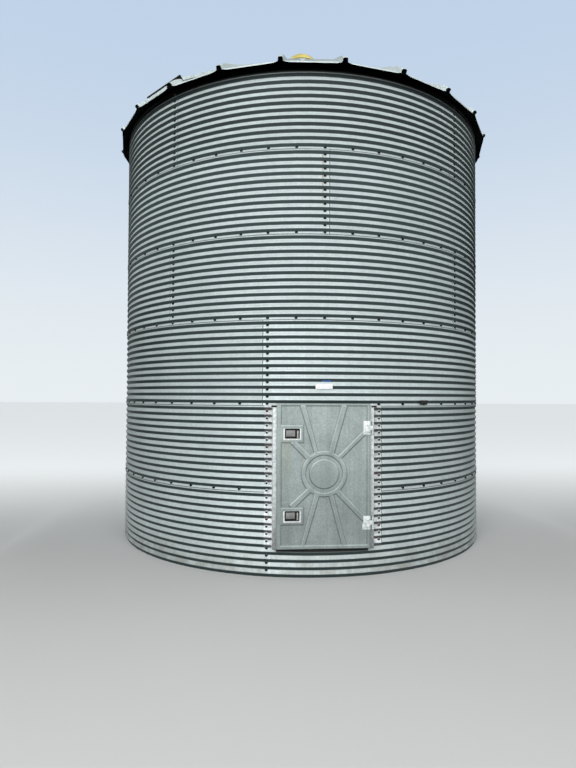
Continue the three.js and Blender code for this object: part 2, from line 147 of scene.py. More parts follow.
# Bolts
BOLT_HEAD = Sizes(radius=0.019 / math.sqrt(3), height=0.0085, sink=0.0005, sides=6, crown=0.72)
WASHER = Sizes(radius=0.0140, height=0.0035, sink=0.001, sides=12, crown=0.80)
BOLT_SHOULDER = 0.8
BOLT_DROP = 0.004
# Shares of the bolts' deep painted shade, on the wall and on the frame.
WALL_BOLT_SHADE = 1.0
FRAME_BOLT_SHADE = 0.1
RUSTY_SHARE = 0.16
RUST_ON_BOLT = 0.9
FRAME_BOLT_SEED = 40

# Door frame
DOORWAY_LOW = 0.254
DOORWAY_HIGH = 1.524
FRAME_FRONT = 2.112
FRAME_BACK = 2.040
CLEAR_HALF_WIDTH = 0.385
FRAME_HALF_WIDTH = 0.455
HINGE_SIDE_HALF_WIDTH = 0.443
FRAME_RAIL = 0.044
FRAME_BEVEL = 0.003
FLANGE_DEG = 14.48
FLANGE_LIFT = 0.0032
FLANGE_SHEET = 0.0016
FLANGE_UNDER_JAMB = 0.004
FLANGE_ROWS = 201
FLANGE_EDGE_DEG = 0.08
# How far round the flange bends from the jamb down to the corrugations, left and right, and the places
# across the bend as (share of it, how far the strip still stands out).
FLANGE_BEND_DEG = {-1: 0.8, 1: 0.3}
FLANGE_BEND = ((0, 1.0), (0.3, 0.7), (1, 0.0))
HINGE_AXIS = (0.425, 2.139)
HINGE_CENTRES = {"upper": 1.314, "lower": 0.486}
KNUCKLE = Sizes(radius=0.009, height=0.038, gap=0.0004, bevel=0.0012, plate=0.0081, plate_depth=0.005,
                plate_bevel=0.001)
# The slits, by depth from the frame's front.
SLIT_BOXES = [(-0.466, -0.420, -0.002, 0.048, 1.492, 1.507, 0.0015),
              (0.420, 0.466, -0.002, 0.048, 1.492, 1.507, 0.0015)]
BENT_BIT = Sizes(start=25.9, end=28.4, low=1.514, high=1.556, points=5, lift=0.008, fold=0.009, lean=0.004,
                 sheet=0.003)

# Door leaf: one pressed sheet. Border, hub and eight channels stand proud of the sectors between them.
LEAF = Sizes(left=-0.421, right=0.403, low=0.264, high=1.526, back=2.117, front=2.145)
LEAF_GRID = 0.0048
LEAF_EDGE = 0.004
LEAF_SHEET = 0.0016
LEAF_CORNER = 0.001
LEAF_WAVE = Sizes(height=0.0006, across=5.1, start=1.0, upright=3.7)
RELIEF = 0.0062
RELIEF_SLOPE = 0.0070
WEB_FRONT = LEAF.front + 0.0035
BORDER = (-0.385, 0.376, 0.297, 1.508)
HUB_CENTRE = (-0.006, 0.914)
HUB_RADIUS = 0.198
GROOVE = Sizes(inside=0.127, outside=0.165)
CHANNEL_REACH = 0.045
# Painted shade at a step's foot and a painted highlight on its brow, by distance inside the raised part.
STEP_FOOT_SHADE = Sizes(at=-0.0030, width=0.0038, dark=0.48, less_facing_up=0.34)
STEP_BROW_HIGHLIGHT = Sizes(at=0.0045, width=0.0036, bright=0.13, more_facing_up=0.55)
FACING_REACH = 0.0005
FACING_GAIN = 1.7
# Each channel's two edges as lines from the hub outward: ((x, z), (x, z)) for each, beside each other.
CHANNELS = [
    (((-0.094, 1.098), (-0.219, 1.510)), ((-0.062, 1.098), (-0.173, 1.510))),
    (((0.035, 1.107), (0.148, 1.510)), ((0.079, 1.086), (0.197, 1.510))),
    (((-0.093, 0.728), (-0.211, 0.290)), ((-0.059, 0.694), (-0.177, 0.290))),
    (((0.045, 0.693), (0.153, 0.290)), ((0.078, 0.715), (0.188, 0.290))),
    (((0.112, 1.064), (0.340, 1.289)), ((0.143, 1.046), (0.371, 1.268))),
    (((0.125, 0.775), (0.362, 0.533)), ((0.097, 0.745), (0.331, 0.503))),
    (((-0.155, 0.785), (-0.316, 0.640)), ((-0.129, 0.752), (-0.275, 0.612))),
    (((-0.160, 1.040), (-0.307, 1.187)), ((-0.130, 1.072), (-0.262, 1.204))),
]
PADS = [(-0.386, -0.190, 1.187, 1.337), (-0.386, -0.190, 0.477, 0.622)]

# Latches and hinge straps
TRAY = Sizes(left=-0.352, right=-0.221, half_height=0.045)
# Profiles round a latch window: growth beyond it, corner radius, distance from the leaf's front or, for
# the rim, from its raised parts, and the rim's growth at the top.
CUP_PROFILE = ((-0.0004, 0.007, -0.046), (-0.0004, 0.007, 0.0025), (-0.0020, 0.006, 0.0025),
               (-0.0020, 0.006, -0.040), (-0.0060, 0.005, -0.044))
RIM_PROFILE = ((0.013, 0.010, 0.0002, 0.0), (0.013, 0.010, 0.0035, 0.0), (0.009, 0.009, 0.0055, 0.0),
               (0.001, 0.007, 0.0055, -0.001), (-0.0012, 0.007, 0.0030, -0.0024),
               (-0.0012, 0.007, 0.0002, -0.0024))
TRAY_CENTRES = {"upper": 1.264, "lower": 0.552}
PADDLE_Y = 0.008 - LEAF.front
# The latch's paddle, its pad and its catch, about the latch's middle.
PADDLE_BOXES = [(-0.346, -0.246, 0, 0.006, -0.038, 0.038, 0.0022, 3),
                (-0.252, -0.246, 0.001, 0.018, -0.038, 0.038, 0.0016)]
PAD_BOXES = [(-0.340, -0.262, -0.0022, 0.001, -0.026, 0.028, 0.0018, 3)]
CATCH_BOXES = [(-0.2435, -0.2300, 0.004, 0.016, -0.040, 0.024, 0.002),
               (-0.2500, -0.2260, 0.012, 0.018, -0.044, -0.034, 0.002)]
BARREL = Sizes(x=-0.344, depth=0.006, radius=0.006, half_height=0.0446)
# A strap with its tongue and its raised part, and the lower strap's tab, about the hinge's middle.
STRAP_BOXES = [(0.340, 0.402, -0.0065, 0, -0.060, 0.060, 0.0015),
               (0.393, 0.425, -0.004, 0.003, -0.0185, 0.0185, 0.001),
               (0.354, 0.395, -0.0100, -0.0055, -0.044, 0.044, 0.003)]
LOWER_TAB_BOXES = [(0.330, 0.343, -0.0055, 0, -0.0595, -0.008, 0.0012)]
STRAP_BOLT = Sizes(x=0.381, depth=-0.0100, off_middle=0.028)

# Tag above the door, and the strip of tape over it
TAG_BOXES = [(-0.080, 0.072, -0.002, 0, 1.652, 1.700, 0.0008)]
TAPE = Sizes(left=-0.022, right=0.061, low=1.716, high=1.733, out=0.0012, back=0.0004)

# Camera, floor and light
CAMERA = Sizes(x=-0.7065, y=-6.8597, height=1.587, lens=25.5, sensor=36, pan=4.61, pitch=1.30, roll=0.27)
FLOOR_SIZE = 240
FLOOR_COLOUR = (0.70, 0.71, 0.70)
FLOOR_FAR = (0.57, 0.60, 0.615)
BACKDROP_RADIUS = 160
BACKDROP_LOW = (0.80, 0.85, 0.88)
BACKDROP_TOP = (0.52, 0.64, 0.80)
AMBIENT = (0.218, 0.226, 0.232)
# Soft lamps as (name, degrees from the door, degrees up, watts).
LAMPS = [("key", -20, 15, 1200), ("fill", 20, 15, 500), ("top", 60, 75, 200)]
LAMP_DISTANCE = 14.0
LAMP_WIDTH = 8.0
LAMP_TARGET = (0, 0, 2.4)
# Black cards that stand in for the dark trees beside the silo, as (x, y from, y to, z from, z to).
CARDS = [(-3.2, -1.5, 0.5, 0.3, 2.3), (3.2, -1.1, 0.4, 0.4, 3.9)]


def new_object(name, data):
    item = bpy.data.objects.new(name, data)
    bpy.context.scene.collection.objects.link(item)
    return item


def mesh_object(name, vertices, faces, *materials):
    mesh = bpy.data.meshes.new(name)
    mesh.from_pydata(np.asarray(vertices).tolist(), [], [tuple(face) for face in faces])
    for material in materials:
        mesh.materials.append(material)
    return new_object(name, mesh)


def rectangle(x, y, level):
    return [(-x, -y, level), (x, -y, level), (x, y, level), (-x, y, level)]


def add_camera():
    data = bpy.data.cameras.new("camera")
    data.lens = CAMERA.lens
    data.sensor_width = CAMERA.sensor
    data.clip_end = 500
    camera = new_object("camera", data)
    pan, pitch, roll = map(math.radians, (CAMERA.pan, CAMERA.pitch, CAMERA.roll))
    forward = Vector((math.sin(pan) * math.cos(pitch), math.cos(pan) * math.cos(pitch), math.sin(pitch)))
    right = Matrix.Rotation(-roll, 3, forward) @ Vector((math.cos(pan), -math.sin(pan), 0))
    turn = Matrix((right, right.cross(forward), -forward)).transposed().to_4x4()
    camera.matrix_world = Matrix.Translation((CAMERA.x, CAMERA.y, CAMERA.height)) @ turn
    bpy.context.scene.camera = camera


def add_floor():
    paint = Shader("floor_paint", roughness=0.9)
    paint.put("Base Color", paint.blend(FLOOR_COLOUR, scaled(FLOOR_COLOUR, 0.95), paint.noise(0.6, 3)))
    behind = paint.span(paint.y, -2.5, 6.0)
    distance = paint.node("VectorMath", {0: paint.place}, "Value", operation="LENGTH")
    paint.glow((0, 0, 0), FLOOR_FAR, paint.math("MAXIMUM", behind, paint.span(distance, 7.5, 13.0)))
    half = FLOOR_SIZE / 2
    floor = mesh_object("floor", rectangle(half, half, 0), [(0, 1, 2, 3)], paint.material)


def add_backdrop():
    """A pale dome round the set that the camera sees, and that neither lights nor shades the silo."""
    paint = Shader("backdrop_glow", roughness=1.0)
    paint.put("Base Color", (0, 0, 0))
    paint.glow(BACKDROP_LOW, BACKDROP_TOP, paint.span(paint.z, 0, 0.62 * BACKDROP_RADIUS))
    dome = mesh_object("backdrop", [], [], paint.material)
    shape = bmesh.new()
    bmesh.ops.create_icosphere(shape, subdivisions=4, radius=BACKDROP_RADIUS)
    shape.to_mesh(dome.data)
    shape.free()
    dome.visible_diffuse = False
    dome.visible_glossy = False
    dome.visible_transmission = False
    dome.visible_shadow = False


def add_cards():
    """Black cards on both sides of the silo, out of the camera's sight, that darken the wall's edges."""
    paint = Shader("card_black", roughness=1.0, specular=0.0)
    paint.put("Base Color", (0.01, 0.01, 0.01))
    for number, (x, near, far, low, high) in enumerate(CARDS, 1):
        corners = [(x, near, low), (x, far, low), (x, far, high), (x, near, high)]
        card = mesh_object(f"card_{number}", corners, [(0, 1, 2, 3)], paint.material)
        card.visible_camera = False
        card.visible_shadow = False


def add_light():
    bpy.context.scene.view_settings.view_transform = "Standard"
    world = bpy.data.worlds.new("studio")
    bpy.context.scene.world = world
    world.use_nodes = True
    background = world.node_tree.nodes["Background"]
    background.inputs["Color"].default_value = (*AMBIENT, 1)
    background.inputs["Strength"].default_value = 1.0
    for name, turn, rise, energy in LAMPS:
        data = bpy.data.lights.new(name, "AREA")
        data.shape = "DISK"
        data.size = LAMP_WIDTH
        data.energy = energy
        rise = math.radians(rise)
        out = Vector((*polar(math.cos(rise), turn), math.sin(rise)))
        place = Matrix.Translation(Vector(LAMP_TARGET) + out * LAMP_DISTANCE)
        new_object(name, data).matrix_world = place @ (-out).to_track_quat("-Z", "Y").to_matrix().to_4x4()


# Materials

ZINC = (0.525, 0.592, 0.594)
ZINC_DULL = (0.475, 0.54, 0.54)
FRAME_ZINC = (0.70, 0.745, 0.75)
FRAME_ZINC_DULL = (0.56, 0.60, 0.605)
SOIL = (0.16, 0.13, 0.085)
FLANK_SHADE = (0.031, 0.047, 0.047)
RUST = (0.24, 0.085, 0.035)
RUST_PALE = (0.34, 0.20, 0.12)
DOOR_GREY = (0.255, 0.302, 0.294)
DOOR_LIGHT = (0.325, 0.380, 0.371)
DOOR_STAIN = (0.235, 0.235, 0.15)
SEAM_SHADOW = Sizes(low=0.0250, high=0.0185, dark=0.30)
# Stains as centre in x, half width, top and bottom.
SEAM_STAIN = (-0.020, 0.013, 3.76, 3.02)
LATCH_STAIN = (-0.338, 0.060, 1.200, 0.66)
# The heights between which the wall goes dark below the eave.
EAVE_SHADOW = (4.42, 4.51)


def scaled(colour, factor):
    return tuple(channel * factor for channel in colour)


class Shader:
    """A material made from a few procedural nodes round one Principled shader, and its colour so far."""

    def __init__(self, name, roughness=0.5, metallic=0.0, specular=0.5):
        self.material = bpy.data.materials.new(name)
        self.material.use_nodes = True
        self.tree = self.material.node_tree
        self.surface = self.tree.nodes["Principled BSDF"].inputs
        self.put("Roughness", roughness)
        self.put("Metallic", metallic)
        self.put("Specular IOR Level", specular)
        self.place = self.node("TexCoord", {}, "Object")
        self.x, self.y, self.z = (self.axis(self.place, axis) for axis in "XYZ")
        # The surface's direction is taken in the piece's own frame, so that it turns with a moving body.
        normal = self.node("NewGeometry", {}, "Normal")
        turned = self.node("VectorTransform", {"Vector": normal}, "Vector",
                           vector_type="NORMAL", convert_from="WORLD", convert_to="OBJECT")
        self.facing_up = self.axis(turned, "Z")

    def feed(self, socket, value):
        if isinstance(value, bpy.types.NodeSocket):
            self.tree.links.new(value, socket)
        elif isinstance(value, tuple) and socket.type == "RGBA":
            socket.default_value = (*value, 1)
        else:
            socket.default_value = value

    def node(self, kind, inputs, output, **options):
        """Adds a node, sets its options, feeds its inputs and gives one of its outputs."""
        node = self.tree.nodes.new(f"ShaderNode{kind}")
        for option, value in options.items():
            setattr(node, option, value)
        for name, value in inputs.items():
            self.feed(node.inputs[name], value)
        return node.outputs[output]

    def put(self, name, value):
        self.feed(self.surface[name], value)

    def axis(self, vector, name):
        return self.node("SeparateXYZ", {0: vector}, name)

    def attribute(self, name):
        return self.node("Attribute", {}, "Fac", attribute_name=name)

    def math(self, operation, first, second):
        return self.node("Math", {0: first, 1: second}, "Value", operation=operation)

    def times(self, first, second):
        return self.math("MULTIPLY", first, second)

    def span(self, value, low, high, start=0.0, end=1.0):
        """Runs smoothly from start to end while the value goes from low to high."""
        inputs = {"Value": value, "From Min": low, "From Max": high, "To Min": start, "To Max": end}
        return self.node("MapRange", inputs, "Result", interpolation_type="SMOOTHSTEP")

    def noise(self, scale, detail, roughness=0.55, vector=None):
        inputs = {"Vector": vector or self.place, "Scale": scale, "Detail": detail, "Roughness": roughness}
        return self.node("TexNoise", inputs, "Fac")

    def streaks(self, factors, detail, roughness):
        """Noise that is stretched along the axes with small factors."""
        vector = self.node("VectorMath", {0: self.place, 1: factors}, "Vector", operation="MULTIPLY")
        return self.noise(1.0, detail, roughness, vector)

    def patches(self, scale, detail, start=0.0, end=1.0, roughness=0.55):
        """Cloudy patches from start to end."""
        return self.span(self.noise(scale, detail, roughness), 0.3, 0.7, start, end)

    def crystals(self, scale, start, end):
        """A random grey for each crystal of the zinc."""
        cells = self.node("TexVoronoi", {"Vector": self.place, "Scale": scale}, "Color")
        return self.span(self.axis(cells, "X"), 0, 1, start, end)

    def downward_shade(self, low, high, darkest=0.0):
        """Painted shade: how much light a face keeps as it turns down, darkest where it faces the ground."""
        return self.span(self.facing_up, low, high, darkest, 1.0)

    def stain(self, place, grain):
        """A soft stain that runs down a wall or door from a height, fading as it goes."""
        centre, half_width, top, bottom = place
        across = self.math("ABSOLUTE", self.math("SUBTRACT", self.x, centre), 0.0)
        side = self.span(across, half_width * 0.2, half_width, 1, 0)
        below = self.span(self.z, top - 0.02, top + 0.01, 1, 0)
        ragged = self.span(self.streaks(grain, 4, 0.6), 0.25, 0.7)
        return self.times(self.times(self.times(side, below), self.span(self.z, bottom, top)), ragged)

    def blend(self, first, second, factor, mode="MIX"):
        inputs = {"Factor": factor, "A": first, "B": second}
        return self.node("Mix", inputs, "Result", data_type="RGBA", blend_type=mode)

    def shaded(self, colour, factor):
        """The colour times a grey factor."""
        grey = self.node("CombineColor", {"Red": factor, "Green": factor, "Blue": factor}, "Color")
        return self.blend(colour, grey, 1.0, "MULTIPLY")

    def shade(self, *factors):
        for factor in factors:
            self.colour = self.shaded(self.colour, factor)

    def cover(self, colour, factor):
        self.colour = self.blend(self.colour, colour, factor)

    def glow(self, first, second, factor):
        self.put("Emission Color", self.blend(first, second, factor))
        self.put("Emission Strength", 1.0)

    def finish(self, scale, detail, distance, strength):
        """Sets the colour and a fine bump, and gives the material."""
        self.put("Base Color", self.colour)
        inputs = {"Height": self.noise(scale, detail), "Distance": distance, "Strength": strength}
        self.put("Normal", self.node("Bump", inputs, "Normal"))
        return self.material


def zinc(name, bright, dull, spangle, runs, **surface):
    """Weathered zinc: fine crystals, cloudy patches and faint runs down the sheet."""
    sheet = Shader(name, **surface)
    sheet.colour = sheet.blend(bright, dull, sheet.patches(1.7, 6, roughness=0.62))
    sheet.shade(sheet.span(sheet.streaks((16, 16, 0.4), 5, 0.62), 0.30, 0.70, 1 - runs, 1),
                sheet.crystals(85, 1 - spangle, 1 + spangle))
    return sheet


def wall_material():
    wall = zinc("galvanised_wall", ZINC, ZINC_DULL, 0.06, 0.07, specular=0.25)
    foot = wall.times(wall.span(wall.z, 0.02, 0.34, 1, 0), wall.patches(9, 5))
    wall.cover(SOIL, wall.times(foot, 0.45))
    door_side = wall.span(wall.y, -0.6, -0.5, 1, 0)
    wall.cover(RUST_PALE, wall.times(wall.stain(SEAM_STAIN, (60, 60, 5)), door_side))
    # The tone attribute holds each sheet's own tone and the painted shadow and highlight beside its lap
    # edges.
    wall.shade(wall.attribute("tone"), seam_shadow_line(wall))
    # Painted shade: faces that turn down take a near-black colour, darker still towards the top ring.
    flank_shade = wall.shaded(FLANK_SHADE, wall.span(wall.z, 3.6, 4.1, 1.0, 0.6))
    wall.colour = wall.blend(flank_shade, wall.colour, wall.downward_shade(-0.15, 0.03))
    wall.shade(wall.span(wall.z, *EAVE_SHADOW, 1.0, 0.01))
    wall.put("Metallic", wall.span(wall.z, *EAVE_SHADOW, 0.25, 1.0))
    wall.put("Roughness", wall.patches(30, 3, 0.46, 0.60))
    return wall.finish(60, 3, 0.0006, 0.25)


def seam_shadow_line(wall):
    """The thin painted shadow line below each ring's lower edge."""
    below = wall.math("SUBTRACT", RING_HEIGHT, wall.math("FLOORED_MODULO", wall.z, RING_HEIGHT))
    near = wall.span(below, SEAM_SHADOW.high - 0.002, SEAM_SHADOW.high + 0.001)
    far = wall.span(below, SEAM_SHADOW.low - 0.002, SEAM_SHADOW.low + 0.003, 1, 0)
    return wall.math("SUBTRACT", 1.0, wall.times(wall.times(near, far), 1 - SEAM_SHADOW.dark))


def roof_material():
    roof = zinc("galvanised_roof", scaled(ZINC, 1.2), scaled(ZINC_DULL, 1.15), 0.06, 0.08,
                metallic=0.2, specular=0.3)
    # Painted shade: faces that turn down go dark, and the tone holds each panel's own tone and the near-black
    # of the undersides.
    roof.shade(roof.attribute("tone"), roof.downward_shade(-0.35, -0.02, 0.008))
    roof.put("Roughness", roof.patches(24, 3, 0.44, 0.58))
    return roof.finish(9, 3, 0.003, 0.3)


def painted_underside_material():
    """Painted shade: a near-black colour for the underside of the roof's sheets, which no light from above
    reaches.
    """
    under = Shader("roof_underside_painted_shade", roughness=0.9, specular=0.0)
    shade_patches = under.patches(6, 5, roughness=0.6)
    under.colour = under.blend((0.010, 0.011, 0.010), (0.004, 0.005, 0.005), shade_patches)
    under.shade(under.crystals(70, 0.8, 1.2))
    return under.finish(9, 3, 0.003, 0.3)


def frame_material():
    steel = zinc("galvanised_frame", FRAME_ZINC, FRAME_ZINC_DULL, 0.10, 0.10, metallic=0.1, specular=0.3)
    # Painted light: lighter towards the bottom; and painted shade on faces that turn down.
    steel.shade(steel.span(steel.z, 0.28, 0.95, 1.30, 0.95),
                steel.span(steel.noise(38, 4, 0.6), 0.35, 0.62, 0.72, 1.0),
                steel.downward_shade(-0.27, 0.02, 0.12))
    return steel.finish(50, 3, 0.0006, 0.25)


def bolt_material():
    bolt = Shader("bolt_steel", roughness=0.75, specular=0.15)
    steel = bolt.blend((0.62, 0.66, 0.66), (0.45, 0.48, 0.48), bolt.noise(120, 3))
    rust = bolt.times(bolt.attribute("rust"), bolt.span(bolt.noise(160, 3), 0.25, 0.6))
    colour = bolt.blend(steel, RUST, rust)
    # Painted shade: the head darkens as it turns down, the washer less, and with the painted shade share all
    # but faces turned well up go near black.
    head = bolt.shaded(colour, bolt.downward_shade(0.05, 0.50, 0.015))
    washer = bolt.shaded(colour, bolt.downward_shade(-0.60, 0.10, 0.45))
    less_shaded = bolt.blend(head, washer, bolt.attribute("washer"))
    deep_shade = bolt.shaded(colour, bolt.downward_shade(0.62, 1.0, 0.02))
    bolt.put("Base Color", bolt.blend(less_shaded, deep_shade, bolt.attribute("painted_shade")))
    return bolt.material


def door_material():
    door = Shader("weathered_door", metallic=0.1, specular=0.3)
    door.colour = door.blend(DOOR_GREY, DOOR_LIGHT, door.span(door.noise(3.2, 5, 0.62), 0.32, 0.68))
    # The tone attribute holds the painted shade and painted highlight beside the leaf's steps.
    door.shade(door.span(door.streaks((22, 22, 1.1), 4, 0.6), 0.35, 0.65, 0.93, 1.04),
               door.crystals(150, 0.92, 1.08), door.patches(95, 2, 0.90, 1.10),
               door.span(door.z, 0.30, 1.45, 0.77, 0.94), door.attribute("tone"))
    door.cover(DOOR_STAIN, door.times(door.stain(LATCH_STAIN, (24, 24, 3)), 0.75))
    door.put("Roughness", door.patches(26, 3, 0.42, 0.58))
    return door.finish(70, 4, 0.0006, 0.3)


def plain_material(name, light, dark, scale, roughness, metallic=0.0, specular=0.4):
    """Paint or plated steel with cloudy wear, painted shade on faces that turn down, and fine bump."""
    paint = Shader(name, roughness, metallic, specular)
    paint.colour = paint.blend(light, dark, paint.span(paint.noise(scale, 5, 0.6), 0.35, 0.68))
    paint.shade(paint.downward_shade(-0.8, -0.1, 0.4))
    return paint.finish(scale * 5, 3, 0.0004, 0.3)


# Mesh helpers. A shape is (vertices, faces).

WELD_DISTANCE = 0.00001
CORNER_STEPS = 5
# The widest rounding of a box, as a share of its shortest side.
WIDEST_BEVEL = 0.45


def polar(radius, degrees):
    """A point in plan by its distance from the axis and its angle from the door's centre towards +X."""
    angle = np.radians(degrees)
    return radius * np.sin(angle), -radius * np.cos(angle)


def smooth_step(value, low, high):
    ratio = np.clip((np.asarray(value, dtype=float) - low) / (high - low), 0, 1)
    return ratio * ratio * (3 - 2 * ratio)


def add_piece(name, shape, slot, material, body="silo", sharp=40, **values):
    """A mesh piece that rides on a body. values are numbers for each vertex, by name."""
    piece = mesh_object(name, *shape, material)
    for key, numbers in values.items():
        layer = piece.data.attributes.new(key, "FLOAT", "POINT")
        layer.data.foreach_set("value", np.asarray(numbers, dtype=np.float32))
    piece.data.shade_smooth()
    piece.data.set_sharp_from_angle(angle=math.radians(sharp))
    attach(piece, body)
    return piece


def weld(piece):
    """Joins a piece's points that coincide, so that no face is left without area."""
    shape = bmesh.new()
    shape.from_mesh(piece.data)
    bmesh.ops.remove_doubles(shape, verts=shape.verts, dist=WELD_DISTANCE)
    shape.to_mesh(piece.data)
    shape.free()


def darken(piece, dark, tones):
    """Gives the faces whose tone is near black a second, near-black material of painted shade, without gloss.
    """
    piece.data.materials.append(dark)
    darkest = np.asarray(tones) < DARK_BELOW
    index = [int(all(darkest[corner] for corner in face.vertices)) for face in piece.data.polygons]
    piece.data.polygons.foreach_set("material_index", index)


def joined(shapes):
    """Several shapes as one, with faces as lists of any length."""
    vertices, faces, start = [], [], 0
    for points, polygons in shapes:
        vertices.append(np.asarray(points, dtype=float))
        faces += [tuple(int(corner) + start for corner in polygon) for polygon in polygons]
        start += len(points)
    return np.concatenate(vertices), faces


def grid_faces(rows, columns, start=0, flip=False):
    index = start + np.arange(rows * columns).reshape(rows, columns)
    a, b = index[:-1, :-1].ravel(), index[:-1, 1:].ravel()
    c, d = index[1:, 1:].ravel(), index[1:, :-1].ravel()
    return np.stack((a, d, c, b) if flip else (a, b, c, d), axis=1)


def shell(front, back):
    """A closed sheet from two grids of points, rows by columns by 3. front is the side seen from outside."""
    rows, columns = front.shape[:2]
    count = rows * columns
    index = np.arange(count).reshape(rows, columns)
    edge = np.concatenate([index[0, :], index[1:, -1], index[-1, -2::-1], index[-2:0:-1, 0]])
    after = np.roll(edge, -1)
    faces = [grid_faces(rows, columns), grid_faces(rows, columns, count, True),
             np.stack([after, edge, edge + count, after + count], axis=1)]
    return np.concatenate([front.reshape(-1, 3), back.reshape(-1, 3)]), np.concatenate(faces)


def curved_sheet(degrees, heights, radius, thickness):
    """A closed sheet round the axis. radius is its outside's, by height and by angle."""
    x, y = polar(1.0, degrees)
    level = np.broadcast_to(heights[:, None], radius.shape)
    return shell(*(np.stack([out * x, out * y, level], axis=2) for out in (radius, radius - thickness)))


def bands(loops, steps):
    """Faces between closed loops of equal length, from each loop to the next."""
    count = len(loops[0])
    faces = []
    for step in range(steps):
        base, above = step * count, (step + 1) % len(loops) * count
        for side in range(count):
            after = (side + 1) % count
            faces.append((base + side, base + after, above + after, above + side))
    return np.concatenate([np.array(loop) for loop in loops]), faces


def tube(loops):
    """A closed band through loops, with the last joined to the first."""
    return bands(loops, len(loops))


def loft(loops):
    """A closed body through loops, with a face over both ends."""
    vertices, faces = bands(loops, len(loops) - 1)
    count = len(loops[0])
    last = len(vertices) - count
    return vertices, faces + [tuple(range(last, last + count)), tuple(range(count - 1, -1, -1))]


def circle(radius, level, sides, centre=(0, 0)):
    angle = np.arange(sides) * math.tau / sides
    x, y = centre[0] + radius * np.cos(angle), centre[1] + radius * np.sin(angle)
    return np.column_stack([x, y, np.full(sides, level)])


def upright_cylinder(centre, radius, low, high, sides=24):
    bevel = KNUCKLE.bevel
    levels = [(radius - bevel, low), (radius, low + bevel), (radius, high - bevel), (radius - bevel, high)]
    return loft([circle(size, level, sides, centre) for size, level in levels])


def rounded_loop(left, right, low, high, radius):
    """Points round a rectangle with round corners, from its lower right corner."""
    corners = [(right - radius, low + radius, -90), (right - radius, high - radius, 0),
               (left + radius, high - radius, 90), (left + radius, low + radius, 180)]
    points = []
    for x, z, start in corners:
        for step in range(CORNER_STEPS + 1):
            angle = math.radians(start + 90 * step / CORNER_STEPS)
            points.append((x + radius * math.cos(angle), z + radius * math.sin(angle)))
    return points


def rounded_box(low, high, bevel, segments=2):
    """A closed box with rounded edges."""
    shape = bmesh.new()
    bmesh.ops.create_cube(shape, size=1)
    size = [top - bottom for bottom, top in zip(low, high)]
    bmesh.ops.scale(shape, vec=size, verts=shape.verts)
    bmesh.ops.translate(shape, vec=[(top + bottom) / 2 for bottom, top in zip(low, high)], verts=shape.verts)
    bmesh.ops.bevel(shape, geom=shape.edges[:], offset=min(bevel, min(size) * WIDEST_BEVEL),
                    segments=segments, profile=0.5, affect="EDGES")
    shape.verts.index_update()
    vertices = [tuple(vert.co) for vert in shape.verts]
    faces = [[vert.index for vert in face.verts] for face in shape.faces]
    shape.free()
    return np.array(vertices), faces


def boxes(rows, y, z=0.0):
    """Rounded boxes from rows, whose depths and heights are from y and z."""
    return [rounded_box((x0, y + y0, z + z0), (x1, y + y1, z + z1), *rounding)
            for x0, x1, y0, y1, z0, z1, *rounding in rows]


# Wall

def bolt_line_deg(line):
    return (line - DOOR_SPACINGS / 2) * BOLT_STEP_DEG


def corrugation(height):
    """Distance of the sheet's outside from the axis: bolts sit in the valleys."""
    return WALL_RADIUS - CORRUGATION_DEPTH / 2 * np.cos(math.tau * np.asarray(height) / PITCH)


def arc_deg(length):
    return math.degrees(length / WALL_RADIUS)


def side_deg(x):
    """Angle at which the wall's outside has a sideways distance from the door's centre."""
    return math.degrees(math.asin(x / WALL_OUTSIDE))


def lap_shadow_and_highlight(edge_deg, outward):
    """(angle, brightness) beside an over-sheet's edge: a painted shadow line and painted highlight strips."""
    mark = LAP_SHADOW_AND_HIGHLIGHT
    marks = [(-mark.bright_to, 1.0), (mark.before, mark.bright), (-mark.edge, mark.bright),
             (mark.edge, mark.dark), (mark.dark_to, mark.dark), (mark.bright_from, mark.bright),
             (mark.bright_to, 1.0)]
    return [(edge_deg + outward * arc_deg(offset), level) for offset, level in marks]


def sheet_heights(low, high):
    return np.linspace(low, high, round((high - low) / PITCH * ROWS_PER_PITCH) + 1)


def wall_sheet(ring, first_line, spacings, tone):
    """One corrugated sheet with its laps, and each vertex's brightness."""
    base = (ring - 1) * RING_HEIGHT
    low = base - RING_LAP if ring > 1 else base
    high = base + RING_HEIGHT + (RING_LAP if ring < RINGS else 0)
    heights = sheet_heights(low, high)

    lines = np.arange(spacings * COLUMNS_PER_SPACING + 1) / COLUMNS_PER_SPACING
    degrees = bolt_line_deg(first_line + lines)
    start, end = degrees[0], degrees[-1]
    lap, fade = arc_deg(LAP), arc_deg(LAP_FADE)
    if LEFT_SHEET_OUTSIDE[ring]:
        at_door = ring <= 2 and first_line == DOOR_SPACINGS
        marks = lap_shadow_and_highlight(FLANGE_DEG if at_door else start + lap, 1) + lap_shadow_and_highlight(end + lap, 1)
    else:
        marks = lap_shadow_and_highlight(start - lap, -1) + lap_shadow_and_highlight(end - lap, -1)
    stops = [start - lap, start + lap, start + fade, end - fade, end - lap, end + lap]
    stops += [angle for angle, _ in marks if start - lap < angle < end + lap]
    degrees = np.unique(np.round(np.concatenate([degrees, stops]), 6))
    if LEFT_SHEET_OUTSIDE[ring]:
        lift = LAP_STEP * smooth_step(degrees, end - fade, end - lap)
    else:
        lift = LAP_STEP * (1 - smooth_step(degrees, start + lap, start + fade))
    outside = corrugation(heights)
    if ring > 1:
        outside += RING_LAP_STEP * (1 - smooth_step(heights - base, *RING_LAP_FADE))
    radius = outside[:, None] + lift[None, :]

    marks.sort()
    bright = tone * np.interp(degrees, *zip(*marks))
    tones = np.tile(np.broadcast_to(bright, radius.shape).ravel(), 2)
    return curved_sheet(degrees, heights, radius, SHEET_THICKNESS), tones


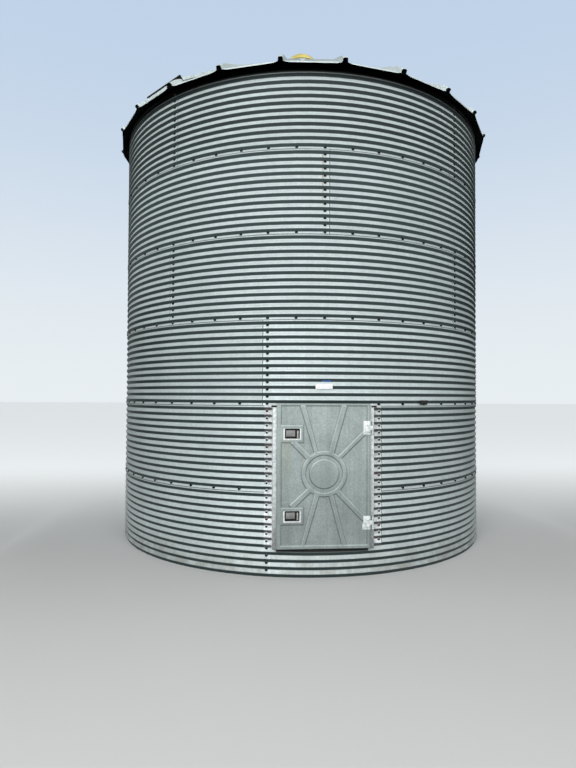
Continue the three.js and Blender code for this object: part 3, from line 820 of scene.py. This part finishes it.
def add_wall(material):
    for ring, sheets in RING_SHEETS.items():
        for number in sorted({sheet[0] for sheet in sheets}):
            parts = [wall_sheet(ring, *sheet[1:]) for sheet in sheets if sheet[0] == number]
            node = f"ring_{ring}_sheet_{number}"
            piece = add_piece(f"{node}_skin", joined([part for part, _ in parts]), "wall_sheet", material,
                              tone=np.concatenate([tones for _, tones in parts]))
            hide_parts(node)
    add_sill_panel(material)


def add_sill_panel(material):
    """The short sheet below the doorway, with the leaf's shadow at its top."""
    heights = sheet_heights(0, DOORWAY_LOW)
    lap = arc_deg(LAP)
    start, end = bolt_line_deg(0), bolt_line_deg(DOOR_SPACINGS)
    edges = [side_deg(side) + soft for side in (LEAF.left, LEAF.right)
             for soft in (-LEAF_SHADOW.soft_deg, LEAF_SHADOW.soft_deg)]
    degrees = np.unique(np.concatenate([
        [start - lap, start + lap], np.linspace(start, end, 9)[1:-1], [end - lap, end + lap], edges]))
    lift = LAP_STEP * smooth_step(degrees, end - 2 * lap, end - lap)
    under_leaf = smooth_step(degrees, *edges[:2]) * (1 - smooth_step(degrees, *edges[2:]))
    near_leaf = LEAF_SHADOW.dark * smooth_step(heights, LEAF_SHADOW.low, LEAF_SHADOW.high)
    shade = 1 - near_leaf[:, None] * under_leaf[None, :]
    sheet = curved_sheet(degrees, heights, corrugation(heights)[:, None] + lift[None, :], SHEET_THICKNESS)
    piece = add_piece("ring_1_sill_panel_skin", sheet, "wall_sheet", material, tone=np.tile(shade.ravel(), 2))
    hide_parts("ring_1_sill_panel")


# Bolts

def bolt_shape():
    """A hexagon head on a round washer, pointing along +Z from the sheet."""
    parts = []
    foot = 0
    for part in (WASHER, BOLT_HEAD):
        radius, low, high = part.radius, foot - part.sink, foot + part.height
        levels = [(radius, low), (radius, low + BOLT_SHOULDER * (high - low)), (radius * part.crown, high)]
        parts.append(loft([circle(size, level, part.sides) for size, level in levels]))
        foot = high
    return joined(parts)


def placed_bolts(places, seed, painted_shade):
    """Bolts at (angle, height, distance from the axis), pointing out, as a shape and numbers by name."""
    points, faces = bolt_shape()
    on_washer = np.arange(len(points)) < 3 * WASHER.sides
    random = np.random.default_rng(seed)
    parts, rust = [], []
    for degrees, height, distance in places:
        out = np.array([*polar(1.0, degrees), 0])
        side = np.array([*polar(1.0, degrees + 90), 0])
        spin = random.uniform(0, math.tau)
        across = side * math.cos(spin) + np.array([0, 0, 1]) * math.sin(spin)
        place = out * distance + np.array([0, 0, height - BOLT_DROP])
        parts.append((place + points @ np.stack([across, np.cross(out, across), out]), faces))
        rust += [RUST_ON_BOLT if random.random() < RUSTY_SHARE else 0.0] * len(points)
    values = {"rust": rust, "washer": np.tile(on_washer, len(places)), "painted_shade": [painted_shade] * len(rust)}
    return joined(parts), values


def valley_distance(ring_lap, sheet_lap):
    return WALL_RADIUS - CORRUGATION_DEPTH / 2 + ring_lap * RING_LAP_STEP + sheet_lap * LAP_STEP


def ring_bolts(ring):
    """The bolts down a ring's upright seams and along its lower edge."""
    base = (ring - 1) * RING_HEIGHT
    places = []
    for _, first_line, spacings, _ in RING_SHEETS[ring]:
        line = first_line + spacings
        in_door = ring <= 2 and line % BOLTS_AROUND in (0, DOOR_SPACINGS)
        for valley in range(1, round(RING_HEIGHT / PITCH)):
            height = base + valley * PITCH
            if not (in_door and DOORWAY_LOW < height < DOORWAY_HIGH):
                places.append((bolt_line_deg(line), height, valley_distance(0, 1)))
    if ring > 1:
        # The door's head takes the bolts above the doorway, and the leaf stands before those of ring 2.
        left_out = {2: range(DOOR_SPACINGS + 1), 3: range(1, DOOR_SPACINGS)}.get(ring, ())
        places += [(bolt_line_deg(line), base, valley_distance(1, 1)) for line in range(BOLTS_AROUND)
                   if line not in left_out]
    return places


def add_bolts(material):
    for ring in range(1, RINGS + 1):
        shape, values = placed_bolts(ring_bolts(ring), ring, WALL_BOLT_SHADE)
        add_piece(f"ring_{ring}_bolts", shape, "frame_steel", material, sharp=30, **values)


# Roof

def underside_height(radius):
    """Height of the panels' underside at a distance from the axis, along a rib's line."""
    return WALL_HEIGHT + REST_GAP + (WALL_OUTSIDE / HALF_PANEL_COS - radius) * ROOF_SLOPE


def roof_section(first_rib, radius, share):
    """Points across four panels and their ribs as (angle, lift, place on the panel from 0 to 1)."""
    height = float(np.interp(RIB_TIP - radius, RIB_HEIGHTS.distance, RIB_HEIGHTS.height))
    base, crest = (eave + (top - eave) * share for eave, top in (RIB_BASE, RIB_CREST))
    side = [(base / 2, 0), (base / 2 - RIB_SIDE.lean, RIB_SIDE.foot_height),
            (crest / 2 + RIB_SIDE.shoulder, height - RIB_SIDE.foot_height),
            (crest / 2 - RIB_SIDE.round, height - RIB_SIDE.crest_drop)]
    rib = [(-across, lift) for across, lift in side] + [(0, height)] + side[::-1]
    foot = math.degrees(base / 2 / radius)
    points = []
    for step in range(PANELS_PER_NODE):
        rib_deg = FIRST_RIB_DEG + (first_rib + step) * RIB_STEP_DEG
        points += [(rib_deg + math.degrees(across / radius), lift, 0) for across, lift in rib]
        points += [(rib_deg + foot + part * (RIB_STEP_DEG - 2 * foot), 0, part)
                   for part in np.linspace(0, 1, PANEL_COLUMNS + 2)[1:-1]]
    end_deg = FIRST_RIB_DEG + (first_rib + PANELS_PER_NODE) * RIB_STEP_DEG
    return points + [(end_deg - foot, 0, 0)]


def edge_radius(lift, part):
    """Distance of the roof's edge from the axis. The ribs' ends reach furthest."""
    if lift > RIB_TIP_LIFT:
        return RIB_TIP
    curve = 1 - abs(2 * part - 1) ** EDGE_CURVE if part > 0 else 0
    return EDGE_AT_RIB + (EDGE_MID_PANEL - EDGE_AT_RIB) * curve


def panel_point(degrees, lift, radius):
    """A point on a flat panel, or lifted off it on a rib, at a true distance from the axis."""
    turn = (degrees - FIRST_RIB_DEG) % RIB_STEP_DEG - RIB_STEP_DEG / 2
    flat_radius = radius if lift > 0 else radius * math.cos(math.radians(turn)) / HALF_PANEL_COS
    x, y = polar(radius, degrees)
    return x, y, underside_height(flat_radius) + ROOF_LIFT + lift


def roof_row(first_rib, share, out=0.0, drop=0.0):
    """A row of points across four panels. The turned-down edge's rows stand out and hang down."""
    row = []
    radius = EDGE_AT_RIB + (ROOF_TOP_RADIUS - EDGE_AT_RIB) * share
    for angle, lift, part in roof_section(first_rib, radius, share):
        edge = edge_radius(lift, part)
        x, y, z = panel_point(angle, lift, edge + (ROOF_TOP_RADIUS - edge) * share)
        fold = smooth_step(min(part, 1 - part), *LIP_FADE) if lift == 0 else 0
        out_x, out_y = polar(out * fold, angle)
        row.append((x + out_x, y + out_y, z - LIP_DROP * drop * fold))
    return row


def lip_inside(front):
    flat = front[:, :, :2]
    inside = front.copy()
    inside[:, :, :2] = flat * (1 - ROOF_SHEET / np.linalg.norm(flat, axis=2, keepdims=True))
    inside[:, :, 2] -= LIP_BACK_LOWER
    return inside


def add_roof(material, dark):
    nodes = RIBS // PANELS_PER_NODE
    for node in range(nodes):
        first_rib = node * PANELS_PER_NODE
        rows = [roof_row(first_rib, 0, *fold) for fold in LIP_ROWS]
        front = np.array(rows + [roof_row(first_rib, share) for share in ROOF_ROWS])
        back = front - np.array([0, 0, ROOF_SHEET])
        back[:len(LIP_ROWS)] = lip_inside(front[:len(LIP_ROWS)])
        shade = np.full(front.shape[:2], PANEL_TONES[node])
        shade[:len(LIP_ROWS)] *= LIP_BRIGHTNESS
        shade = np.concatenate([shade.ravel(), np.full(shade.size, UNDERSIDE_SHADE_TONE)])
        name = f"roof_panels_{node + 1}"
        piece = add_piece(f"{name}_skin", shell(front, back), "roof_sheet", material, sharp=30, tone=shade)
        darken(piece, dark, shade)
        weld(piece)
        if node == nodes - 1:
            cut_hatch_hole(piece)
        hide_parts(name)


def hatch_place():
    """From the hatch's own frame, x along the eave and y up the slope, to the model's."""
    slope = math.atan(ROOF_SLOPE / HALF_PANEL_COS)
    across = Vector((*polar(1.0, HATCH_DEG + 90), 0))
    up_slope = Vector((*polar(-math.cos(slope), HATCH_DEG), math.sin(slope)))
    turn = Matrix((across, up_slope, across.cross(up_slope))).transposed().to_4x4()
    height = underside_height(HATCH_DISTANCE / HALF_PANEL_COS) + ROOF_LIFT
    return Matrix.Translation((*polar(HATCH_DISTANCE, HATCH_DEG), height)) @ turn


def cut_hatch_hole(piece):
    x, y = HATCH_HOLE.width / 2, HATCH_HOLE.length / 2
    cutter = mesh_object("cutter", *loft([rectangle(x, y, z) for z in (HATCH_HOLE.low, HATCH_HOLE.high)]))
    cutter.matrix_world = hatch_place()
    cut = piece.modifiers.new("hole", "BOOLEAN")
    cut.operation = "DIFFERENCE"
    cut.object = cutter
    cut.solver = "FAST"
    bpy.context.view_layer.update()
    graph = bpy.context.evaluated_depsgraph_get()
    result = bpy.data.meshes.new_from_object(piece.evaluated_get(graph))
    piece.modifiers.clear()
    piece.data = result
    bpy.data.objects.remove(cutter)


def on_hatch(shape):
    points, faces = shape
    place = np.array(hatch_place())
    return points @ place[:3, :3].T + place[:3, 3], faces


def flat_loop(x, y, corner, level):
    return [(*point, level) for point in rounded_loop(-x, x, -y, y, corner)]


def add_hatch(material, dark):
    x, y, corner = HATCH_CURB.width / 2, HATCH_CURB.length / 2, HATCH_CURB.corner
    shape = on_hatch(tube([flat_loop(x - inset, y - inset, corner - inset, level)
                           for inset, level in CURB_PROFILE]))
    piece = add_piece("hatch_curb", shape, "roof_sheet", material, tone=[1.0] * len(shape[0]))
    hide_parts("roof_hatch_curb")

    shape, tones = hatch_lid()
    flap = lid_flap()
    tones = np.concatenate([tones, np.full(len(flap[0]), FLAP.tone)])
    shape = on_hatch(joined([shape, flap]))
    piece = add_piece("hatch_cover", shape, "roof_sheet", material, sharp=35, tone=tones)
    darken(piece, dark, tones)
    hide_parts("roof_hatch_lid")


def hatch_lid():
    """The lid's pressed sheet with its lip, and each vertex's brightness: the front lip's upper part is near
    black, painted shadow.
    """
    lid = HATCH_LID
    vertices, faces = loft([flat_loop(lid.half - inset, lid.half - inset, lid.corner, level)
                            for inset, level in LID_PROFILE])
    front_lip = vertices[:, 1] < -lid.half + lid.lip_width
    hem = (vertices[:, 2] < lid.top - lid.lip + lid.lip_edge) & ~front_lip
    vertices[hem, 2] = lid.side_low
    # Painted shadow of the gap under the lid's front edge.
    tones = np.where(front_lip & (vertices[:, 2] < lid.top - lid.lip_edge), lid.lip_tone, lid.tone)
    drop = lid.side_drop * smooth_step(np.abs(vertices[:, 0]), lid.half - lid.flat, lid.half)
    vertices[:, 2] -= np.where(front_lip | hem, 0, drop)
    return (vertices, faces), tones


def lid_flap():
    """The lower part of the lid's front lip, bent out until it hangs plumb."""
    x = np.linspace(FLAP.left, FLAP.right, 9)
    depth = np.linspace(HATCH_LID.lip + FLAP.longer, FLAP.top, 3)
    x, depth = np.meshgrid(x, depth)
    out = HATCH_LID.half + FLAP.out + (depth - FLAP.top) * ROOF_SLOPE
    front = np.stack([x, -out, HATCH_LID.top - depth], axis=2)
    return shell(front, front + np.array([0, FLAP.sheet, 0]))


def turned(profile):
    """A body turned round the silo's axis from a closed profile of (radius, height) points."""
    return tube([circle(radius, level, FILL_SIDES) for radius, level in profile])


def dome_profile(radius, level):
    """Points of a dome's profile from its top down to where it meets a level."""
    reach = math.sqrt(radius ** 2 - (level - LID.centre) ** 2)
    angles = np.linspace(0, math.asin(reach / radius), DOME_ROWS)
    return [(radius * math.sin(angle), LID.centre + radius * math.cos(angle)) for angle in angles]


def add_fill_hole(steel, yellow):
    inside, outside, low, high, bead = vars(COLLAR).values()
    piece = add_piece("fill_ring", turned([
        (inside, low), (outside - bead, low), (outside, low + bead), (outside, high - bead),
        (outside - bead, high), (inside + bead, high), (inside, high - bead)]), "frame_steel", steel)
    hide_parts("fill_collar")

    seat = high + REST_GAP
    top = seat + LID.rim_height
    rim, bead = LID.rim, LID.bead
    edge = [(rim - LID.rim_width, seat), (rim, seat), (rim, top - bead), (rim - bead, top)]
    under = dome_profile(LID.dome - LID.thickness, seat + LID.inner_rise)
    shape = turned(under + edge + dome_profile(LID.dome, top)[::-1])
    piece = add_piece("fill_cap", shape, "yellow_lid", yellow, sharp=50)
    weld(piece)
    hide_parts("fill_lid")


# Door frame

def flange(side, outer):
    """The corrugated strip that carries the frame on the wall's outside."""
    inner = side_deg(outer - FLANGE_UNDER_JAMB)
    heights = np.linspace(DOORWAY_LOW, DOORWAY_HIGH - RING_LAP / 4, FLANGE_ROWS)
    places = [(inner + share * FLANGE_BEND_DEG[side], stand_out) for share, stand_out in FLANGE_BEND]
    places += [(FLANGE_DEG - FLANGE_EDGE_DEG, 0.0), (FLANGE_DEG, 0.0)]
    degrees, swell = np.array(places).T
    degrees = side * degrees
    if side < 0:
        degrees, swell = degrees[::-1], swell[::-1]
    shape = corrugation(heights)[:, None] + FLANGE_LIFT
    radius = shape + (WALL_OUTSIDE + FLANGE_LIFT - shape) * swell[None, :]
    return curved_sheet(degrees, heights, radius, FLANGE_SHEET)


def knuckle(low, high):
    return upright_cylinder((HINGE_AXIS[0], -HINGE_AXIS[1]), KNUCKLE.radius, low, high)


def frame_knuckles():
    """The frame's two knuckles at each hinge, each with its plate."""
    x, y = HINGE_AXIS
    parts = []
    for centre in HINGE_CENTRES.values():
        inner = KNUCKLE.height / 2 + KNUCKLE.gap
        for low in (centre + inner, centre - inner - KNUCKLE.height):
            high = low + KNUCKLE.height
            corner = (x + KNUCKLE.plate, -FRAME_FRONT + KNUCKLE.plate_depth, high)
            parts += [knuckle(low, high), rounded_box((x, -y, low), corner, KNUCKLE.plate_bevel)]
    return parts


def add_frame(steel, bolts):
    clear, low, high = CLEAR_HALF_WIDTH, DOORWAY_LOW, DOORWAY_HIGH
    left, right = FRAME_HALF_WIDTH, HINGE_SIDE_HALF_WIDTH
    rail = clear - REST_GAP
    for name, x0, x1, z0, z1, more in (
        ("jamb_left", -left, -clear, low, high, [flange(-1, left)]),
        ("jamb_right", clear, right, low, high, [flange(1, right), *frame_knuckles()]),
        ("head", -rail, rail, high - FRAME_RAIL, high, []),
        ("sill", -rail, rail, low, low + FRAME_RAIL, []),
    ):
        box = rounded_box((x0, -FRAME_FRONT, z0), (x1, -FRAME_BACK, z1), FRAME_BEVEL)
        piece = add_piece(f"frame_{name}", joined([box, *more]), "frame_steel", steel, sharp=35)
        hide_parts(f"door_{name}")

    distance = valley_distance(0, 0) + FLANGE_LIFT
    places = [(bolt_line_deg(line), valley * PITCH, distance)
              for valley in range(round(DOORWAY_LOW / PITCH) + 1, round(DOORWAY_HIGH / PITCH))
              for line in (0, DOOR_SPACINGS)]
    shape, values = placed_bolts(places, FRAME_BOLT_SEED, FRAME_BOLT_SHADE)
    add_piece("frame_bolts", shape, "frame_steel", bolts, sharp=30, **values)


def add_dark_details(dark):
    """Dark boxes for the open slits at the top of the door's flanges, and a bent bit of metal on the seam at
    the right, both near black: painted shade.
    """
    add_piece("flange_slits", joined(boxes(SLIT_BOXES, -FRAME_FRONT)), "frame_steel", dark)

    degrees = np.linspace(BENT_BIT.start, BENT_BIT.end, BENT_BIT.points)
    heights = np.linspace(BENT_BIT.low, BENT_BIT.high, BENT_BIT.points)
    spread = np.linspace(-1, 1, BENT_BIT.points)
    lift = BENT_BIT.lift + BENT_BIT.fold * np.abs(spread)[None, :] + BENT_BIT.lean * spread[:, None]
    shape = curved_sheet(degrees, heights, WALL_OUTSIDE + lift, BENT_BIT.sheet)
    add_piece("bent_bit", shape, "frame_steel", dark)


# Door leaf

def inside_box(x, z, left, right, low, high):
    return np.minimum(np.minimum(x - left, right - x), np.minimum(z - low, high - z))


def inside_channel(x, z, edges):
    """Distance inside the strip between two edge lines, cut off at its outer end."""
    (a0, a1), (b0, b1) = (np.array(edge) for edge in edges)
    point = np.stack([x, z], axis=-1)

    def beside(start, end, other):
        run = (end - start) / np.linalg.norm(end - start)
        normal = np.array([-run[1], run[0]])
        return (point - start) @ normal * np.sign((other - start) @ normal)

    sides = np.minimum(beside(a0, a1, b1), beside(b0, b1, a1))
    first, last = (a0 + b0) / 2, (a1 + b1) / 2
    run = (last - first) / np.linalg.norm(last - first)
    ends = np.minimum((last - point) @ run, (point - first) @ run + CHANNEL_REACH)
    return np.minimum(sides, ends)


def inside_raised(x, z):
    """Distance inside the parts of the leaf that stand proud, below zero on the sectors and in the groove."""
    out = np.hypot(x - HUB_CENTRE[0], z - HUB_CENTRE[1])
    raised = [-inside_box(x, z, *BORDER), HUB_RADIUS - out]
    raised += [inside_channel(x, z, edges) for edges in CHANNELS]
    raised += [inside_box(x, z, *pad) for pad in PADS]
    return np.minimum(np.max(raised, axis=0), -np.minimum(out - GROOVE.inside, GROOVE.outside - out))


def step_shade_and_highlight(x, z, inside):
    """Brightness beside each step: painted shade at its foot and a painted highlight on its brow, lighter
    where the step faces up.
    """
    slope = (inside_raised(x, z + FACING_REACH) - inside) / FACING_REACH
    facing = np.clip(-FACING_GAIN * slope, -1, 1)
    foot, brow = (np.exp(-((inside - mark.at) / mark.width) ** 2) for mark in (STEP_FOOT_SHADE, STEP_BROW_HIGHLIGHT))
    dark = STEP_FOOT_SHADE.dark - STEP_FOOT_SHADE.less_facing_up * facing
    return 1 - foot * dark + brow * (STEP_BROW_HIGHLIGHT.bright + STEP_BROW_HIGHLIGHT.more_facing_up * np.maximum(facing, 0))


def lines_with(low, high, stops):
    """Grid lines over a stretch, near the leaf's step apart, that pass through each stop."""
    marks = sorted({low, high, *stops})
    pieces = [np.linspace(start, end, max(1, round((end - start) / LEAF_GRID)) + 1)[:-1]
              for start, end in zip(marks, marks[1:])]
    return np.append(np.concatenate(pieces), high)


def add_leaf(material, bright):
    outline = (LEAF.left, LEAF.right, LEAF.low, LEAF.high)
    windows = {name: (TRAY.left, TRAY.right, centre - TRAY.half_height, centre + TRAY.half_height)
               for name, centre in TRAY_CENTRES.items()}
    across = lines_with(LEAF.left, LEAF.right, [TRAY.left, TRAY.right])
    upright = lines_with(LEAF.low, LEAF.high, [level for window in windows.values() for level in window[2:]])
    x, z = np.meshgrid(across, upright)
    inside = inside_raised(x, z)
    height = WEB_FRONT - RELIEF * (1 - smooth_step(inside, -RELIEF_SLOPE / 2, RELIEF_SLOPE / 2))
    rim = np.clip(inside_box(x, z, *outline) / LEAF_EDGE, 0, 1)
    height -= LEAF_EDGE * (1 - np.sqrt(np.clip(1 - (1 - rim) ** 2, 0, 1)))
    wave = np.sin(LEAF_WAVE.across * x + LEAF_WAVE.start) * np.sin(LEAF_WAVE.upright * z)
    height += LEAF_WAVE.height * wave
    tone = step_shade_and_highlight(x, z, inside)
    vertices, faces = shell(*(np.stack([x, depth - height, z], axis=2) for depth in (0, LEAF_SHEET)))

    # The latch windows are left out of both sides of the sheet, and their edges are lined.
    rows, columns = x.shape
    centre_x, centre_z = ((line[:-1] + line[1:]) / 2 for line in (across, upright))
    open_cell = np.zeros((rows - 1, columns - 1), dtype=bool)
    index = np.arange(rows * columns).reshape(rows, columns)
    lining = []
    for x0, x1, z0, z1 in windows.values():
        open_cell |= np.outer((centre_z > z0) & (centre_z < z1), (centre_x > x0) & (centre_x < x1))
        i0, i1 = (int(np.argmin(abs(across - side))) for side in (x0, x1))
        j0, j1 = (int(np.argmin(abs(upright - level))) for level in (z0, z1))
        loop = [*index[j0, i0:i1], *index[j0:j1, i1], *index[j1, i1:i0:-1], *index[j1:j0:-1, i0]]
        lining += [(first, second, second + rows * columns, first + rows * columns)
                   for first, second in zip(loop, loop[1:] + loop[:1])]
    keep = np.ones(len(faces), dtype=bool)
    keep[:2 * open_cell.size] = np.tile(~open_cell.ravel(), 2)
    shape = joined([(vertices, [*faces[keep].tolist(), *lining]), leaf_returns(outline)])
    tones = np.ones(len(shape[0]))
    tones[:2 * tone.size] = np.tile(tone.ravel(), 2)
    piece = add_piece("leaf_sheet", shape, "door_steel", material, body="door", sharp=50, tone=tones)
    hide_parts("door_leaf")
    for name, window in windows.items():
        add_tray(name, window, bright)


def grown_loop(outline, grow, radius, distance, grow_top=None):
    """A rounded loop round an outline on the door, at a distance from the axis, grown on every side."""
    left, right, low, high = outline
    top = high + (grow if grow_top is None else grow_top)
    return [(x, -distance, z) for x, z in rounded_loop(left - grow, right + grow, low - grow, top, radius)]


def leaf_returns(outline):
    """The leaf's edges, folded back towards the frame on all four sides."""
    front, back = WEB_FRONT - LEAF_EDGE, LEAF.back
    return tube([grown_loop(outline, grow, LEAF_CORNER, distance) for grow, distance in (
        (0, back), (0, front), (-LEAF_SHEET, front), (-LEAF_SHEET, back))])


def add_tray(name, window, bright):
    """A pressed cup behind the leaf, near black as painted shade, and its bright rim on three sides of the
    window.
    """
    # The cup's inside is near black: painted shade.
    dark = plain_material(f"tray_painted_shade_{name}", (0.040, 0.040, 0.036), (0.014, 0.014, 0.013), 40, 0.85,
                          specular=0.1)
    cup = loft([grown_loop(window, grow, corner, LEAF.front + out) for grow, corner, out in CUP_PROFILE])
    add_piece(f"latch_tray_{name}", cup, "latch_steel", dark, body="door", sharp=35)
    rim = tube([grown_loop(window, grow, corner, WEB_FRONT + out, top)
                for grow, corner, out, top in RIM_PROFILE])
    add_piece(f"latch_rim_{name}", rim, "hinge_steel", bright, body="door", sharp=35)


def add_paddle(name, material, worn):
    """The latch's paddle: a near-black plate that is painted shade round a worn pad on it, and the catch
    beside it.
    """
    centre = TRAY_CENTRES[name]
    # The plate and barrel are near black: painted shade in the latch window.
    painted_shade = plain_material(f"paddle_painted_shade_{name}", (0.035, 0.034, 0.032), (0.016, 0.016, 0.015), 40, 0.8,
                          specular=0.1)
    barrel = upright_cylinder((BARREL.x, PADDLE_Y + BARREL.depth), BARREL.radius,
                              centre - BARREL.half_height, centre + BARREL.half_height, 16)
    shape = joined([*boxes(PADDLE_BOXES, PADDLE_Y, centre), barrel])
    piece = add_piece(f"latch_paddle_{name}", shape, "latch_steel", painted_shade, body=f"latch_{name}")
    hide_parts(f"door_latch_{name}")
    shape = joined(boxes(PAD_BOXES, PADDLE_Y, centre))
    add_piece(f"latch_pad_{name}", shape, "latch_steel", material, body=f"latch_{name}")
    shape = joined(boxes(CATCH_BOXES, PADDLE_Y, centre))
    add_piece(f"latch_catch_{name}", shape, "latch_steel", worn, body="door")


def add_hinge(name, bright):
    """A strap with a raised middle and two bolts, and its tongue and knuckle at the door's edge."""
    centre = HINGE_CENTRES[name]
    rows = STRAP_BOXES + (LOWER_TAB_BOXES if name == "lower" else [])
    half = KNUCKLE.height / 2
    shape = joined([*boxes(rows, -LEAF.front, centre), knuckle(centre - half, centre + half)])
    piece = add_piece(f"hinge_{name}", shape, "hinge_steel", bright, body="door")
    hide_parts(f"door_hinge_{name}")
    points, faces = bolt_shape()
    points = np.column_stack([points[:, 0], -points[:, 2], points[:, 1]])
    place = np.array([STRAP_BOLT.x, STRAP_BOLT.depth - LEAF.front, centre])
    off = np.array([0, 0, STRAP_BOLT.off_middle])
    shape = joined([(points + place - off, faces), (points + place + off, faces)])
    add_piece(f"hinge_bolts_{name}", shape, "hinge_steel", bright, body="door", sharp=30)


def add_tag(white, blue):
    piece = add_piece("tag_board", joined(boxes(TAG_BOXES, -WALL_OUTSIDE - REST_GAP)), "tag", white)
    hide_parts("tag_plate")

    heights = np.linspace(TAPE.low, TAPE.high, 7)
    x, z = np.meshgrid(np.linspace(TAPE.left, TAPE.right, 4), heights)
    sides = [np.stack([x, -np.sqrt((corrugation(heights)[:, None] + lift) ** 2 - x ** 2), z], axis=2)
             for lift in (TAPE.out, TAPE.back)]
    add_piece("tag_tape", shell(*sides), "tag", blue)


def main():
    add_camera()
    add_floor()
    add_backdrop()
    add_cards()
    add_light()
    roof, painted_underside, bolts = roof_material(), painted_underside_material(), bolt_material()
    bright = plain_material("bright_zinc", (0.74, 0.78, 0.77), (0.48, 0.52, 0.52), 60, 0.40, 0.3)
    paddle = plain_material("paddle_steel", (0.235, 0.240, 0.228), (0.155, 0.165, 0.158), 40, 0.55, 0.2)
    worn = plain_material("worn_catch", (0.46, 0.44, 0.42), (0.30, 0.29, 0.28), 60, 0.55, 0.2)
    yellow = plain_material("yellow_paint", (0.74, 0.63, 0.17), (0.60, 0.50, 0.14), 12, 0.45)
    white = plain_material("tag_white", (0.74, 0.75, 0.76), (0.66, 0.67, 0.68), 30, 0.6)
    blue = plain_material("tag_tape_blue", (0.05, 0.14, 0.40), (0.04, 0.10, 0.30), 60, 0.6)
    # Near black for the slits and the bent bit: painted shade.
    painted_shade = plain_material("painted_shade_black", (0.030, 0.032, 0.030), (0.016, 0.018, 0.017), 40, 0.85, specular=0.1)
    steel = frame_material()
    add_wall(wall_material())
    add_bolts(bolts)
    add_roof(roof, painted_underside)
    add_frame(steel, bolts)
    add_leaf(door_material(), bright)
    for name in TRAY_CENTRES:
        add_paddle(name, paddle, worn)
        add_hinge(name, bright)
    add_fill_hole(steel, yellow)
    add_hatch(roof, painted_underside)
    add_tag(white, blue)
    add_dark_details(painted_shade)


main()
